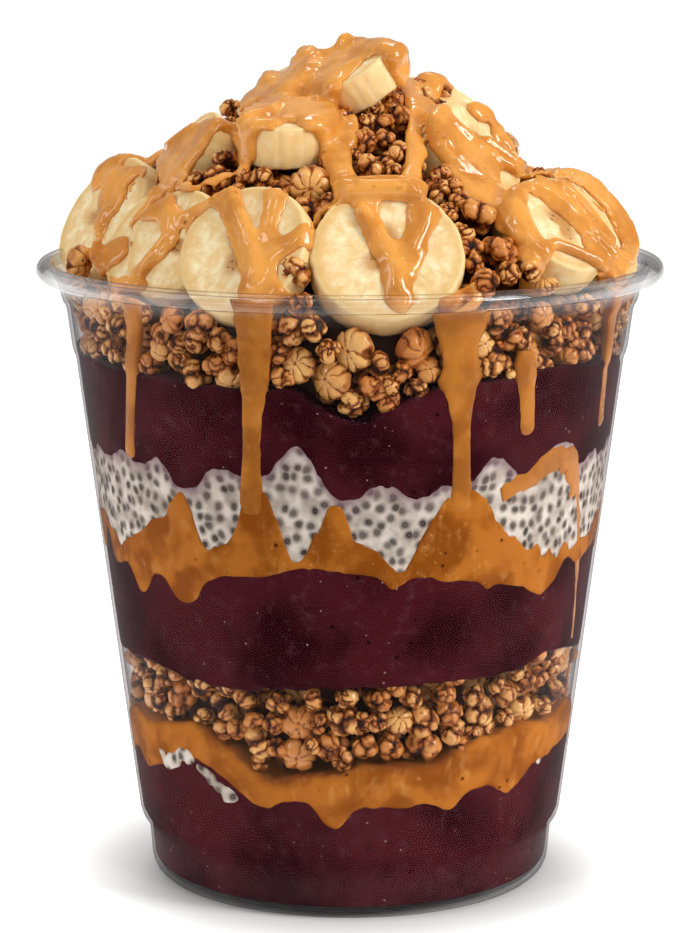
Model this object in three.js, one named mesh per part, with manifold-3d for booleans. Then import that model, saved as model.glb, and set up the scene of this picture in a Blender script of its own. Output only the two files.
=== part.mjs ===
// A layered acai cup in millimetres, +Z up, standing on the plane z = 0 with its axis on the Z axis.
// The front, which shows the peaks of chia pudding and the sauce runs, faces -Y.
// Angles round the axis are in degrees, 0 at the front and growing towards +X.
import * as THREE from "three";
import { mergeVertices } from "three/addons/utils/BufferGeometryUtils.js";
import Module from "manifold-3d";

const wasm = await Module();
wasm.setup();

// Cup
const RIM_RADIUS = 58.5;
const CUP_HEIGHT = 117.2;
const WALL = 0.7;
const CURL_RADIUS = 1.75;
const FOOT_RADIUS = 38.1;
const FOOT_HEIGHT = 9.2;
const PUNT_RADIUS = 31.3;
const PUNT_HEIGHT = 1.6;
const TAPER_BOTTOM = { r: 40.3, z: 12.0 };
const TAPER_TOP = { r: 51.35, z: 99.4 };
const COLLAR_BOTTOM = { r: 52.0, z: 101.0 };
const COLLAR_TOP = { r: 52.9, z: 108.4 };
const NECK = { r: 54.0, z: 110.8 };
const SHOULDER = { r: 54.4, z: 113.0 };
const CUP_SIDES = 30;

// Filling
const CLEARANCE = 0.35; // between the filling and the cup's wall
const LAYER_GAP = 0.3; // between one layer and the next
const EDGE_STEPS = 60; // points round a layer's edge on the wall
const CORE_STEPS = 20; // points round a layer's flat middle
const MIDDLE = 0.72; // share of the radius inside which a layer is flat
const BODY_START = 3.9; // height at which the filling leaves the foot ring

// Granola
const CLUSTER_RADIUS = 3.9;
const CLUSTER_PITCH = 8.9; // from cluster to cluster on the wall
const CLUSTER_ROW = 6.6; // from row to row on the wall
const HEAP_PITCH = 4.9;
const CLUSTER_SUNK = 3.0; // how far the granola's body lies behind the wall
const HEAP_TOP = 150.5;
const HEAP_SLOPE = 0.25;
const HEAP_CURVE = 0.006;
const HEAP_PEAK = 8; // how far behind the axis the heap is highest
const HEAP_BACK = 1.4; // how much faster it falls behind the peak
const HEAP_RADIUS = 47.3;
const HEAP_SUNK = 2.2; // how far the heap's body lies below the tops of its clusters

// Slices and sauce
const SLICE_SIDES = 12;
const SLICE_CHAMFER = 0.5;
const TOUCH_GAP = 0.35; // between toppings that lie against each other
const SAUCE_WIDTH = 5.0;
const SAUCE_HEIGHT = 1.1;
const RUN_DEPTH = 1.7;
const RUN_STATIONS = 5;

const COLOURS = {
  clear: 0xe8eef0,
  acai: 0x3b1020,
  peanut: 0xbb7730,
  granola: 0x9a5c2a,
  chia: 0xcac5be,
  banana: 0xead9a4,
};

const { degToRad, radToDeg, lerp } = THREE.MathUtils;
const group = new THREE.Group();

// A repeatable random number from 0 to 1.
function seeded(seed) {
  let state = seed >>> 0;
  return () => {
    state = (state + 0x6d2b79f5) >>> 0;
    let t = Math.imul(state ^ (state >>> 15), 1 | state);
    t = (t + Math.imul(t ^ (t >>> 7), 61 | t)) ^ t;
    return ((t ^ (t >>> 14)) >>> 0) / 4294967296;
  };
}

function addPart(name, geometry, colour, roughness, opacity = 1) {
  const material = new THREE.MeshStandardMaterial({ color: colour, roughness, metalness: 0, opacity });
  material.transparent = opacity < 1;
  const mesh = new THREE.Mesh(geometry, material);
  mesh.name = name;
  group.add(mesh);
}

// A closed geometry, placed by a matrix, as a solid for cutting and joining.
function solidOf(geometry, matrix = new THREE.Matrix4()) {
  const bare = geometry.clone().applyMatrix4(matrix);
  bare.deleteAttribute("normal");
  bare.deleteAttribute("uv");
  const merged = mergeVertices(bare, 1e-3);
  return new wasm.Manifold(
    new wasm.Mesh({
      numProp: 3,
      vertProperties: merged.attributes.position.array,
      triVerts: new Uint32Array(merged.index.array),
    }),
  );
}

// The largest piece of a solid as a geometry, without the crumbs that a cut can leave.
function geometryOf(solid) {
  const main = solid.decompose().reduce((a, b) => (a.volume() > b.volume() ? a : b));
  const mesh = main.getMesh();
  const geometry = new THREE.BufferGeometry();
  const position = new THREE.BufferAttribute(new Float32Array(mesh.vertProperties), 3);
  geometry.setAttribute("position", position);
  geometry.setIndex(new THREE.BufferAttribute(mesh.triVerts, 1));
  geometry.computeVertexNormals();
  return geometry;
}

// A closed skin over rows of points. The rows run from the middle of the bottom, out, up and in to
// the middle of the top; each is a loop of any number of points, or one point.
function skin(rows) {
  const faces = [];
  const starts = [];
  let count = 0;
  for (const row of rows) {
    starts.push(count);
    count += row.length;
  }
  for (let k = 1; k < rows.length; k++) {
    const [low, high] = [rows[k - 1].length, rows[k].length];
    const lowAt = (i) => starts[k - 1] + (i % low);
    const highAt = (j) => starts[k] + (j % high);
    const tie = low >= high ? 1e-6 : -1e-6;
    let [i, j] = [low === 1 ? 1 : 0, high === 1 ? 1 : 0];
    while (i < low || j < high) {
      if (j >= high || (i < low && (i + 1) / low < (j + 1) / high + tie)) {
        faces.push(lowAt(i), lowAt(i + 1), highAt(j));
        i++;
      } else {
        faces.push(lowAt(i), highAt(j + 1), highAt(j));
        j++;
      }
    }
  }
  const geometry = new THREE.BufferGeometry().setFromPoints(rows.flat());
  geometry.setIndex(faces);
  geometry.computeVertexNormals();
  return geometry;
}

// A closed skin along a run of equal loops, with flat ends.
function loft(rows) {
  const sides = rows[0].length;
  const faces = [];
  for (let k = 1; k < rows.length; k++) {
    for (let j = 0; j < sides; j++) {
      const [a, b] = [(k - 1) * sides + j, (k - 1) * sides + ((j + 1) % sides)];
      faces.push([a, b, b + sides], [a, b + sides, a + sides]);
    }
  }
  const last = (rows.length - 1) * sides;
  for (let j = 1; j < sides - 1; j++) faces.push([0, j + 1, j], [last, last + j, last + j + 1]);
  const geometry = new THREE.BufferGeometry().setFromPoints(rows.flat());
  geometry.setIndex(faces.flat());
  if (solidOf(geometry).volume() < 0) geometry.setIndex(faces.flatMap(([a, b, c]) => [a, c, b]));
  geometry.computeVertexNormals();
  return geometry;
}

// The point at a radius, an angle from the front and a height.
function polar(radius, angle, z) {
  return new THREE.Vector3(radius * Math.sin(degToRad(angle)), -radius * Math.cos(degToRad(angle)), z);
}

function ring(steps, place) {
  return Array.from({ length: steps }, (_, i) => place((360 * i) / steps));
}

// The angle from one direction to another, from -180 to 180.
function turnBetween(from, to) {
  return ((((to - from) % 360) + 540) % 360) - 180;
}

// Distance from the axis that the filling reaches at a height. Above the foot it follows the straight
// taper of the wall, and at every angle the flat sides of the cup.
function fillRadius(z, angle = 0) {
  const slope = (TAPER_TOP.r - TAPER_BOTTOM.r) / (TAPER_TOP.z - TAPER_BOTTOM.z);
  const inFoot = z < TAPER_BOTTOM.z;
  const round = inFoot ? FOOT_RADIUS + 0.05 * (z - BODY_START) : TAPER_BOTTOM.r + slope * (z - TAPER_BOTTOM.z);
  const half = 180 / CUP_SIDES;
  const off = (((angle % (2 * half)) + 2 * half) % (2 * half)) - half;
  return ((round - WALL) * Math.cos(degToRad(half))) / Math.cos(degToRad(off)) - CLEARANCE;
}

// Cup: one turned wall with a raised base, a stacking step, a collar and a curled lip.
function makeCup() {
  const curl = { r: RIM_RADIUS - CURL_RADIUS, z: CUP_HEIGHT - CURL_RADIUS };
  const arc = (radius, turns) =>
    turns.map((turn) => [
      curl.r + radius * Math.cos(degToRad(turn)),
      curl.z + radius * Math.sin(degToRad(turn)),
    ]);
  const outside = [
    [0, PUNT_HEIGHT],
    [PUNT_RADIUS, PUNT_HEIGHT],
    [PUNT_RADIUS + 1.5, 0],
    [FOOT_RADIUS - 2.6, 0],
    [FOOT_RADIUS - 0.4, 1.6],
    [FOOT_RADIUS + 0.5, FOOT_HEIGHT],
    [TAPER_BOTTOM.r, TAPER_BOTTOM.z],
    [TAPER_TOP.r, TAPER_TOP.z],
    [COLLAR_BOTTOM.r, COLLAR_BOTTOM.z],
    [COLLAR_TOP.r, COLLAR_TOP.z],
    [NECK.r, NECK.z],
    [SHOULDER.r, SHOULDER.z],
    ...arc(CURL_RADIUS - WALL, [180, 90, 0, -60]),
  ];
  const inside = [
    ...arc(CURL_RADIUS, [-60, 0, 50, 90, 130, 180]),
    [SHOULDER.r - WALL, SHOULDER.z],
    [NECK.r - WALL, NECK.z + 0.2],
    [COLLAR_TOP.r - WALL, COLLAR_TOP.z + 0.2],
    [COLLAR_BOTTOM.r - WALL, COLLAR_BOTTOM.z + 0.1],
    [TAPER_TOP.r - WALL, TAPER_TOP.z + 0.1],
    [TAPER_BOTTOM.r - WALL, TAPER_BOTTOM.z + 0.3],
    [FOOT_RADIUS + 0.5 - WALL, FOOT_HEIGHT + 0.3],
    [FOOT_RADIUS - 0.4 - WALL, 2.0],
    [FOOT_RADIUS - 2.9, WALL],
    [PUNT_RADIUS + 1.9, WALL],
    [PUNT_RADIUS + 0.4, PUNT_HEIGHT + WALL],
    [0, PUNT_HEIGHT + WALL],
  ];
  const profile = [...outside, ...inside].map(([r, z]) => new THREE.Vector2(r, z));
  const geometry = new THREE.LatheGeometry(profile, CUP_SIDES).rotateX(Math.PI / 2);
  addPart("cup", geometry, COLOURS.clear, 0.06, 0.35);
}

// The wavy edge between two layers: its level on the wall and in the middle, and its humps. A hump's
// high is positive where the edge rises. The back, which these humps leave free, has seeded ones.
function makeEdge({ level, middle, humps, seed, spacing, wide, high }) {
  const random = seeded(seed);
  const all = [...humps];
  for (let at = 90; at < 270; at += spacing * (0.8 + 0.4 * random())) {
    all.push({ at, wide: wide * (0.8 + 0.5 * random()), high: high * (0.35 + 0.65 * random()) });
  }
  const height = (angle) =>
    all.reduce((z, hump) => z + hump.high * Math.exp(-((turnBetween(hump.at, angle) / hump.wide) ** 2)), level);
  return { height, middle };
}

const edges = {
  baseTop: makeEdge({
    level: 23.2,
    middle: 23.5,
    humps: [
      { at: -66, wide: 9, high: 1.6 },
      { at: -43, wide: 9, high: 5.2 },
      { at: -22, wide: 5, high: -2.6 },
      { at: -3, wide: 5, high: -5.0 },
      { at: 26, wide: 5, high: -2.8 },
      { at: 45, wide: 6, high: -2.8 },
      { at: 66, wide: 12, high: 3.6 },
    ],
    seed: 11,
    spacing: 17,
    wide: 5,
    high: -4.2,
  }),
  peanutLowerTop: makeEdge({
    level: 34.2,
    middle: 32,
    humps: [
      { at: -20, wide: 13, high: -7.4 },
      { at: 5, wide: 14, high: -4.2 },
      { at: 24, wide: 8, high: -2.6 },
    ],
    seed: 12,
    spacing: 34,
    wide: 15,
    high: -5,
  }),
  granolaLowerTop: makeEdge({
    level: 44.6,
    middle: 45,
    humps: [
      { at: 20, wide: 18, high: 1.0 },
      { at: 58, wide: 18, high: 2.2 },
    ],
    seed: 13,
    spacing: 40,
    wide: 18,
    high: 2,
  }),
  acaiMiddleTop: makeEdge({
    level: 63.0,
    middle: 62.5,
    humps: [
      { at: -57, wide: 4.5, high: -4.6 },
      { at: -41, wide: 5.5, high: -5.0 },
      { at: -12, wide: 14, high: 2.6 },
      { at: 32, wide: 4.5, high: -2.4 },
      { at: 47, wide: 5.5, high: -4.4 },
      { at: 57, wide: 5, high: 2.4 },
    ],
    seed: 14,
    spacing: 16,
    wide: 5,
    high: -4.6,
  }),
  peanutUpperTop: makeEdge({
    level: 72.6,
    middle: 72.5,
    humps: [
      { at: -63, wide: 6, high: -4.8 },
      { at: -41, wide: 5, high: 6.0 },
      { at: -32, wide: 4.5, high: -3.5 },
      { at: -21, wide: 4.5, high: 7.0 },
      { at: -12, wide: 4.5, high: -6.4 },
      { at: -3, wide: 4.5, high: 6.0 },
      { at: 10, wide: 5, high: -3.2 },
      { at: 24, wide: 5.5, high: 7.0 },
      { at: 46, wide: 8, high: -4.6 },
      { at: 61, wide: 5, high: -4.4 },
    ],
    seed: 15,
    spacing: 13,
    wide: 5,
    high: -5.2,
  }),
  chiaTop: makeEdge({
    level: 81.6,
    middle: 83,
    humps: [
      { at: -70, wide: 5, high: 2.6 },
      { at: -56, wide: 5, high: 2.4 },
      { at: -44, wide: 5, high: 2.8 },
      { at: -28, wide: 7, high: 2.4 },
      { at: -11, wide: 5, high: 8.0 },
      { at: 31, wide: 5, high: 4.6 },
      { at: 51, wide: 8, high: 5.0 },
      { at: 66, wide: 5, high: 2.6 },
    ],
    seed: 16,
    spacing: 15,
    wide: 5,
    high: 5.0,
  }),
  acaiUpperTop: makeEdge({
    level: 100.2,
    middle: 99,
    humps: [{ at: 0, wide: 9, high: -6.6 }],
    seed: 17,
    spacing: 45,
    wide: 10,
    high: -5,
  }),
};

// The rows of a layer's lower side, from its flat middle to its edge. A layer whose side lies hidden
// behind clusters is sunk behind the wall, and needs only half the points.
function bottomRows(lower, sunk = 0) {
  const z = lower.middle + LAYER_GAP / 2;
  return [
    [new THREE.Vector3(0, 0, z)],
    ring(CORE_STEPS, (angle) => polar(fillRadius(z) * MIDDLE, angle, z)),
    ring(sunk ? EDGE_STEPS / 2 : EDGE_STEPS, (angle) => {
      const height = lower.height(angle) + LAYER_GAP / 2;
      return polar(fillRadius(height, angle) - sunk, angle, height);
    }),
  ];
}

// The rows of a layer's upper side, from its edge to its flat middle.
function topRows(upper, sunk = 0) {
  const z = upper.middle - LAYER_GAP / 2;
  return [
    ring(sunk ? EDGE_STEPS / 2 : EDGE_STEPS, (angle) => {
      const height = upper.height(angle) - LAYER_GAP / 2;
      return polar(fillRadius(height, angle) - sunk, angle, height);
    }),
    ring(CORE_STEPS, (angle) => polar(fillRadius(z) * MIDDLE, angle, z)),
    [new THREE.Vector3(0, 0, z)],
  ];
}

// Runs of sauce down the inside of the wall, by where each starts and ends.
const RUNS = [
  { name: "left", top: { at: -50, z: 108 }, end: { at: -54, z: 84 }, wideTop: 4.0, wideEnd: 2.6 },
  { name: "front_left", top: { at: -18.5, z: 108 }, end: { at: -21, z: 77 }, wideTop: 6.2, wideEnd: 4.0 },
  { name: "front_right", top: { at: 21.5, z: 108 }, end: { at: 24, z: 77.5 }, wideTop: 7.4, wideEnd: 4.0 },
  { name: "right", top: { at: 36, z: 103.5 }, end: { at: 39, z: 90 }, wideTop: 4.6, wideEnd: 3.0 },
  { name: "far_right", top: { at: 65, z: 108 }, end: { at: 67.5, z: 88.5 }, wideTop: 3.8, wideEnd: 2.2 },
  { name: "back_right", top: { at: 128, z: 108 }, end: { at: 124, z: 80 }, wideTop: 6.0, wideEnd: 3.4 },
  { name: "back_left", top: { at: 204, z: 108 }, end: { at: 208, z: 76 }, wideTop: 6.4, wideEnd: 3.8 },
];

// A run as a strip with five sides and a narrow end, flat against the wall; grow widens it all round.
function runGeometry(run, grow = 0) {
  const rows = [];
  for (let i = 0; i <= RUN_STATIONS; i++) {
    const share = i / RUN_STATIONS;
    const z = lerp(run.top.z + grow, run.end.z - grow, share);
    const angle = lerp(run.top.at, run.end.at, share);
    const waist = 1 - 0.15 * Math.sin(Math.PI * share);
    const last = i === RUN_STATIONS;
    const half = (lerp(run.wideTop, run.wideEnd, Math.sqrt(share)) / 2) * (last ? 0.35 : waist) + grow;
    const front = grow ? 2 * CLEARANCE : 0;
    const back = -RUN_DEPTH * (last ? 0.6 : 1) - grow;
    const at = (width, depth) => {
      const turned = angle + radToDeg(width / fillRadius(z));
      return polar(fillRadius(z, turned) + depth, turned, z);
    };
    rows.push([at(-half, front), at(0, front), at(half, front), at(half * 0.6, back), at(-half * 0.6, back)]);
  }
  return loft(rows);
}

// A layer from rows, grooved for the runs that lie in front of it.
function grooved(rows) {
  let solid = solidOf(skin(rows));
  for (const run of RUNS) solid = solid.subtract(solidOf(runGeometry(run, TOUCH_GAP)));
  return geometryOf(solid);
}

function makeLayers() {
  const floor = [
    [new THREE.Vector3(0, 0, PUNT_HEIGHT + WALL + 0.5)],
    ring(CUP_SIDES, (angle) => polar(PUNT_RADIUS - 0.2, angle, PUNT_HEIGHT + WALL + 0.5)),
    ring(CUP_SIDES, (angle) => polar(PUNT_RADIUS + 2.0, angle, WALL + 0.5)),
    ring(CUP_SIDES, (angle) => polar(FOOT_RADIUS - 3.4, angle, WALL + 0.5)),
    ...[BODY_START, FOOT_HEIGHT, TAPER_BOTTOM.z + 0.4].map((z) =>
      ring(CUP_SIDES, (angle) => polar(fillRadius(z), angle, z)),
    ),
  ];
  addPart("acai_base", skin([...floor, ...topRows(edges.baseTop)]), COLOURS.acai, 0.4);
  const between = (lower, upper) => [...bottomRows(lower), ...topRows(upper)];
  const { baseTop, peanutLowerTop, granolaLowerTop, acaiMiddleTop, peanutUpperTop, chiaTop, acaiUpperTop } = edges;
  addPart("peanut_butter_lower", skin(between(baseTop, peanutLowerTop)), COLOURS.peanut, 0.35);
  addPart("acai_middle", skin(between(granolaLowerTop, acaiMiddleTop)), COLOURS.acai, 0.4);
  addPart("peanut_butter_upper", grooved(between(acaiMiddleTop, peanutUpperTop)), COLOURS.peanut, 0.35);
  addPart("chia_pudding", grooved(between(peanutUpperTop, chiaTop)), COLOURS.chia, 0.5);
  addPart("acai_upper", grooved(between(chiaTop, acaiUpperTop)), COLOURS.acai, 0.4);
  for (const run of RUNS) addPart(`peanut_butter_run_${run.name}`, runGeometry(run), COLOURS.peanut, 0.3);
}

// Banana slices, those behind before those in front. Each has the middle of its face at (x, y, z) and
// faces the way given by turn, an angle from the front, and lift, the angle above the level. Sauce
// lists the runs on its face, each by its points (right, up) from the middle.
const SLICES = [
  { x: -13.8, y: 3, z: 148.7, turn: -69, lift: 54, r: 9, thick: 6.5, sauce: [[[-6, -3], [6, 3]]] },
  { x: 0.2, y: -5, z: 153.4, turn: -63, lift: 55, r: 8.4, thick: 6.5, sauce: [[[-6, 2], [6, 0]]] },
  { x: -29.8, y: -6, z: 138.1, turn: -70, lift: 39, r: 8.4, thick: 6, sauce: [[[5, 5], [-5, -4]]] },
  { x: -11.2, y: -17, z: 144.8, turn: -6, lift: 77, r: 8.6, thick: 7.7, sauce: [[[-6, 2], [6, 0]]] },
  { x: 23.4, y: -13, z: 138.9, turn: 51, lift: 38, r: 10.4, thick: 7, sauce: [[[-7, 5], [0, -1], [8, -4]]] },
  { x: 45.2, y: -9, z: 124.2, turn: 62, lift: 36, r: 11.6, thick: 6, sauce: [[[-7, 7], [2, 0], [7, -7]]] },
  { x: 38.2, y: -27, z: 126.5, turn: 38, lift: 42, r: 10.6, thick: 8, sauce: [[[-7, 5], [0, 1], [7, -6]]] },
  { x: -45.2, y: 8.5, z: 123, turn: -58, lift: 32, r: 12, thick: 5.6, sauce: [[[1, 10], [3, 1], [-3, -9]]] },
  { x: -37, y: -13, z: 121.6, turn: -50, lift: 33, r: 11.2, thick: 5.2, sauce: [[[4, 8], [-3, -8]]] },
  { x: -31.8, y: -27.6, z: 123, turn: -44, lift: 31, r: 10.8, thick: 5.2, sauce: [[[3, 8], [4, 0], [-3, -8]]] },
  { x: -18.8, y: -41, z: 123.2, turn: -27, lift: 32, r: 12.4, thick: 5.6, sauce: [[[-2, 11], [1, 2], [1, -10]]] },
  { x: 6.5, y: -44.2, z: 123, turn: 4, lift: 32, r: 13.2, thick: 7, sauce: [[[-3, 11], [0, 0], [3, -11]]] },
  { x: 40.5, y: 15.5, z: 123.6, turn: 110, lift: 36, r: 12.4, thick: 6.5, sauce: [[[0, 11], [3, 0], [0, -9]]] },
  { x: 23.5, y: 36.5, z: 123.4, turn: 147, lift: 35, r: 12.6, thick: 6.5, sauce: [[[-3, 10], [3, -10]]] },
  { x: -4, y: 43.6, z: 123.4, turn: 185, lift: 35, r: 12.8, thick: 6.5, sauce: [[[3, 10], [0, 1], [-2, -10]]] },
  { x: -30, y: 31.5, z: 123, turn: 223, lift: 35, r: 12.4, thick: 6.5, sauce: [[[-2, 10], [4, -8]]] },
  { x: 18.5, y: 17.5, z: 143, turn: 133, lift: 46, r: 10.4, thick: 7, sauce: [[[-6, 6], [5, -7]]] },
  { x: -15.5, y: 23.5, z: 141, turn: 212, lift: 48, r: 10.2, thick: 7, sauce: [[[5, 7], [-5, -7]]] },
];

// The axes of a slice: right and up in its face, and out of it.
function sliceFrame({ x, y, z, turn, lift }) {
  const out = polar(Math.cos(degToRad(lift)), turn, Math.sin(degToRad(lift)));
  const right = new THREE.Vector3(0, 0, 1).cross(out).normalize();
  const up = out.clone().cross(right);
  return new THREE.Matrix4().makeBasis(right, up, out).setPosition(x, y, z);
}

// A disc with a crowned edge and its face on the plane z = 0.
function sliceGeometry({ r, thick }) {
  const profile = [
    [0, -thick],
    [r - SLICE_CHAMFER, -thick],
    [r, -thick / 2],
    [r - SLICE_CHAMFER, 0],
    [0, 0],
  ];
  const points = profile.map(([radius, z]) => new THREE.Vector2(radius, z));
  return new THREE.LatheGeometry(points, SLICE_SIDES).rotateX(Math.PI / 2);
}

// The room that a slice and its sauce take up, as a cylinder.
function pocketSolid(slice) {
  const [from, to] = [-slice.thick - TOUCH_GAP, SAUCE_HEIGHT + TOUCH_GAP];
  const radius = slice.r + TOUCH_GAP;
  const geometry = new THREE.CylinderGeometry(radius, radius, to - from, SLICE_SIDES).rotateX(Math.PI / 2);
  return solidOf(geometry.translate(0, 0, (from + to) / 2), sliceFrame(slice));
}

// A run of sauce on a slice's face, as a low ridge that follows a path.
function sauceGeometry(path) {
  const points = path.map(([right, up]) => new THREE.Vector3(right, up, 0));
  const line = points.length > 2 ? new THREE.CatmullRomCurve3(points) : new THREE.LineCurve3(...points);
  const steps = 2 * points.length - 1;
  const rows = [];
  for (let i = 0; i <= steps; i++) {
    const share = i / steps;
    const along = line.getTangent(share).setZ(0).normalize();
    const across = new THREE.Vector3(-along.y, along.x, 0);
    const size = Math.sqrt(Math.sin(Math.PI * (0.08 + 0.84 * share)));
    const at = (w, z) => line.getPoint(share).addScaledVector(across, (w * size * SAUCE_WIDTH) / 2).setZ(z);
    const top = SAUCE_HEIGHT * size;
    rows.push([at(-1, -1), at(-0.5, top), at(0.5, top), at(1, -1)]);
  }
  return loft(rows);
}

function makeSlices() {
  const pockets = SLICES.map(pocketSolid);
  SLICES.forEach((slice, index) => {
    const frame = sliceFrame(slice);
    let solid = solidOf(sliceGeometry(slice), frame);
    for (const path of slice.sauce) solid = solid.add(solidOf(sauceGeometry(path), frame));
    for (const other of pockets.slice(0, index)) {
      if (solid.intersect(other).volume() > 0) solid = solid.subtract(other);
    }
    const number = String(index + 1).padStart(2, "0");
    addPart(`banana_slice_${number}`, geometryOf(solid), COLOURS.banana, 0.45);
  });
}

// True where a ball lies clear of every slice and its sauce.
function clearOfSlices(centre, radius) {
  return SLICES.every((slice) => {
    const local = centre.clone().applyMatrix4(sliceFrame(slice).invert());
    const pastRim = Math.max(Math.hypot(local.x, local.y) - slice.r, 0);
    const pastFace = Math.max(local.z - SAUCE_HEIGHT, -slice.thick - local.z, 0);
    return Math.hypot(pastRim, pastFace) > radius + TOUCH_GAP;
  });
}

// True where a ball lies clear of every run on the wall.
function clearOfRuns(centre, radius) {
  const angle = radToDeg(Math.atan2(centre.x, -centre.y));
  const reach = Math.hypot(centre.x, centre.y) + radius;
  return RUNS.every((run) => {
    const share = (run.top.z - centre.z) / (run.top.z - run.end.z);
    const off = degToRad(Math.abs(turnBetween(lerp(run.top.at, run.end.at, share), angle))) * reach;
    const above = centre.z - radius > run.top.z + TOUCH_GAP;
    const below = centre.z + radius < run.end.z - TOUCH_GAP;
    const behind = reach < fillRadius(centre.z) - RUN_DEPTH - TOUCH_GAP;
    return above || below || behind || off > radius + run.wideTop / 2 + TOUCH_GAP;
  });
}

// A granola cluster: a small uneven ball with few sides.
function clusterSolid(centre, radius, random) {
  const squash = new THREE.Vector3(0.86 + 0.14 * random(), 0.86 + 0.14 * random(), 0.86 + 0.14 * random());
  const turn = new THREE.Euler(6.3 * random(), 6.3 * random(), 6.3 * random());
  const matrix = new THREE.Matrix4().compose(centre, new THREE.Quaternion().setFromEuler(turn), squash);
  return solidOf(new THREE.SphereGeometry(radius, 6, 2), matrix);
}

// Rows of clusters that are pressed against the wall. Each row gives the height of its middle line.
function wallClusters(rows, seed, keep) {
  const random = seeded(seed);
  const found = [];
  rows.forEach((height, row) => {
    const count = Math.round((2 * Math.PI * fillRadius(height(0))) / CLUSTER_PITCH);
    for (let i = 0; i < count; i++) {
      const angle = (360 * (i + (row % 2) / 2 + 0.25 * (random() - 0.5))) / count;
      const radius = CLUSTER_RADIUS * (0.84 + 0.16 * random());
      const z = height(angle) + 0.6 * random();
      const centre = polar(fillRadius(z) - radius, angle, z);
      if (keep(centre, radius, angle)) found.push(clusterSolid(centre, radius, random));
    }
  });
  return found;
}

// Height of the clusters' tops on the heap.
function heapHeight(x, y) {
  const back = y < HEAP_PEAK ? HEAP_PEAK - y : HEAP_BACK * (y - HEAP_PEAK);
  const away = Math.hypot(x, back);
  return HEAP_TOP - HEAP_SLOPE * away - HEAP_CURVE * away * away;
}

// Clusters over the heap, on a spiral that spreads them evenly.
function heapClusters(seed) {
  const random = seeded(seed);
  const golden = 137.508;
  const found = [];
  for (let i = 1; ; i++) {
    const r = HEAP_PITCH * Math.sqrt(i);
    if (r > HEAP_RADIUS) return found;
    const radius = CLUSTER_RADIUS * (0.84 + 0.16 * random());
    const centre = polar(r, i * golden, 0);
    centre.z = heapHeight(centre.x, centre.y) - radius + 0.6;
    if (clearOfSlices(centre, radius)) found.push(clusterSolid(centre, radius, random));
  }
}

// Sauce that lies on the heap between the slices: each run by its start, its end and its width.
const HEAP_SAUCE = [
  { from: { at: 3, r: 15 }, to: { at: 1, r: 30 }, wide: 6.5 },
  { from: { at: 40, r: 8 }, to: { at: 20, r: 34 }, wide: 5.5 },
  { from: { at: 92, r: 12 }, to: { at: 88, r: 30 }, wide: 5.5 },
  { from: { at: 176, r: 10 }, to: { at: 168, r: 26 }, wide: 6 },
];

function heapSauceSolid({ from, to, wide }) {
  const rows = [];
  const steps = 3;
  for (let i = 0; i <= steps; i++) {
    const share = i / steps;
    const at = lerp(from.at, to.at, share);
    const here = polar(lerp(from.r, to.r, share), at, 0);
    here.z = heapHeight(here.x, here.y) - 1;
    const half = (wide / 2) * Math.sqrt(Math.sin(Math.PI * (0.1 + 0.8 * share)));
    const corner = (w, z) => here.clone().add(polar(w * half, at + 90, z));
    rows.push([corner(-1, -5), corner(-1, 0.4), corner(-0.4, 2), corner(0.4, 2), corner(1, 0.4), corner(1, -5)]);
  }
  return solidOf(loft(rows));
}

function makeGranola() {
  const { peanutLowerTop, granolaLowerTop, chiaTop, acaiUpperTop } = edges;
  const lowCore = skin([...bottomRows(peanutLowerTop, CLUSTER_SUNK), ...topRows(granolaLowerTop, CLUSTER_SUNK)]);
  const first = CLUSTER_RADIUS + LAYER_GAP;
  const lowRows = [
    (angle) => peanutLowerTop.height(angle) + first,
    (angle) => granolaLowerTop.height(angle) - first - 0.6,
  ];
  const inLayer = (centre, radius, angle) =>
    centre.z - radius > peanutLowerTop.height(angle) + LAYER_GAP / 2 &&
    centre.z + radius < granolaLowerTop.height(angle) - LAYER_GAP / 2;
  const low = wallClusters(lowRows, 21, inLayer);
  const room = solidOf(skin([...bottomRows(peanutLowerTop), ...topRows(granolaLowerTop)]));
  const lower = wasm.Manifold.union([solidOf(lowCore), ...low]).intersect(room);
  addPart("granola_lower", geometryOf(lower), COLOURS.granola, 0.55);

  const dome = (share) =>
    ring(CORE_STEPS, (angle) => {
      const point = polar(HEAP_RADIUS * share, angle, 0);
      return point.setZ(heapHeight(point.x, point.y) - HEAP_SUNK);
    });
  const rows = [...bottomRows(acaiUpperTop, CLUSTER_SUNK), dome(1), dome(0.75), dome(0.5), dome(0.25)];
  rows.push([new THREE.Vector3(0, 0, heapHeight(0, 0) - HEAP_SUNK)]);
  let heap = solidOf(skin(rows));
  for (const run of HEAP_SAUCE) heap = heap.add(heapSauceSolid(run));
  for (const slice of SLICES) heap = heap.subtract(pocketSolid(slice));
  const edgeUp = (angle) => acaiUpperTop.height(angle) + LAYER_GAP;
  const above = [0, 1, 2].map((row) => (angle) => acaiUpperTop.height(angle) + first + row * CLUSTER_ROW);
  const fits = (centre, radius, angle) =>
    centre.z - radius > acaiUpperTop.height(angle) + LAYER_GAP / 2 &&
    clearOfSlices(centre, radius) &&
    clearOfRuns(centre, radius);
  const under = solidOf(skin([...bottomRows(chiaTop), ...topRows({ ...acaiUpperTop, height: edgeUp })]));
  const whole = wasm.Manifold.union([heap, ...wallClusters(above, 22, fits), ...heapClusters(23)]).subtract(under);
  addPart("granola_top", geometryOf(whole), COLOURS.granola, 0.55);
}

makeCup();
makeLayers();
makeSlices();
makeGranola();

export default group;
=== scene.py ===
"""An acai bowl in a clear cup: bands of filling, granola, banana slices and nut butter poured over.

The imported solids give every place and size, and each node gets its real shape and finish here.
Lengths in this file are millimetres and angles degrees, turned from the front (-Y) towards +X.
"""

import itertools
import logging
import math
from collections.abc import Callable, Iterable, Mapping, Sequence
from dataclasses import dataclass, field
from enum import Enum
from typing import Any

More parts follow.
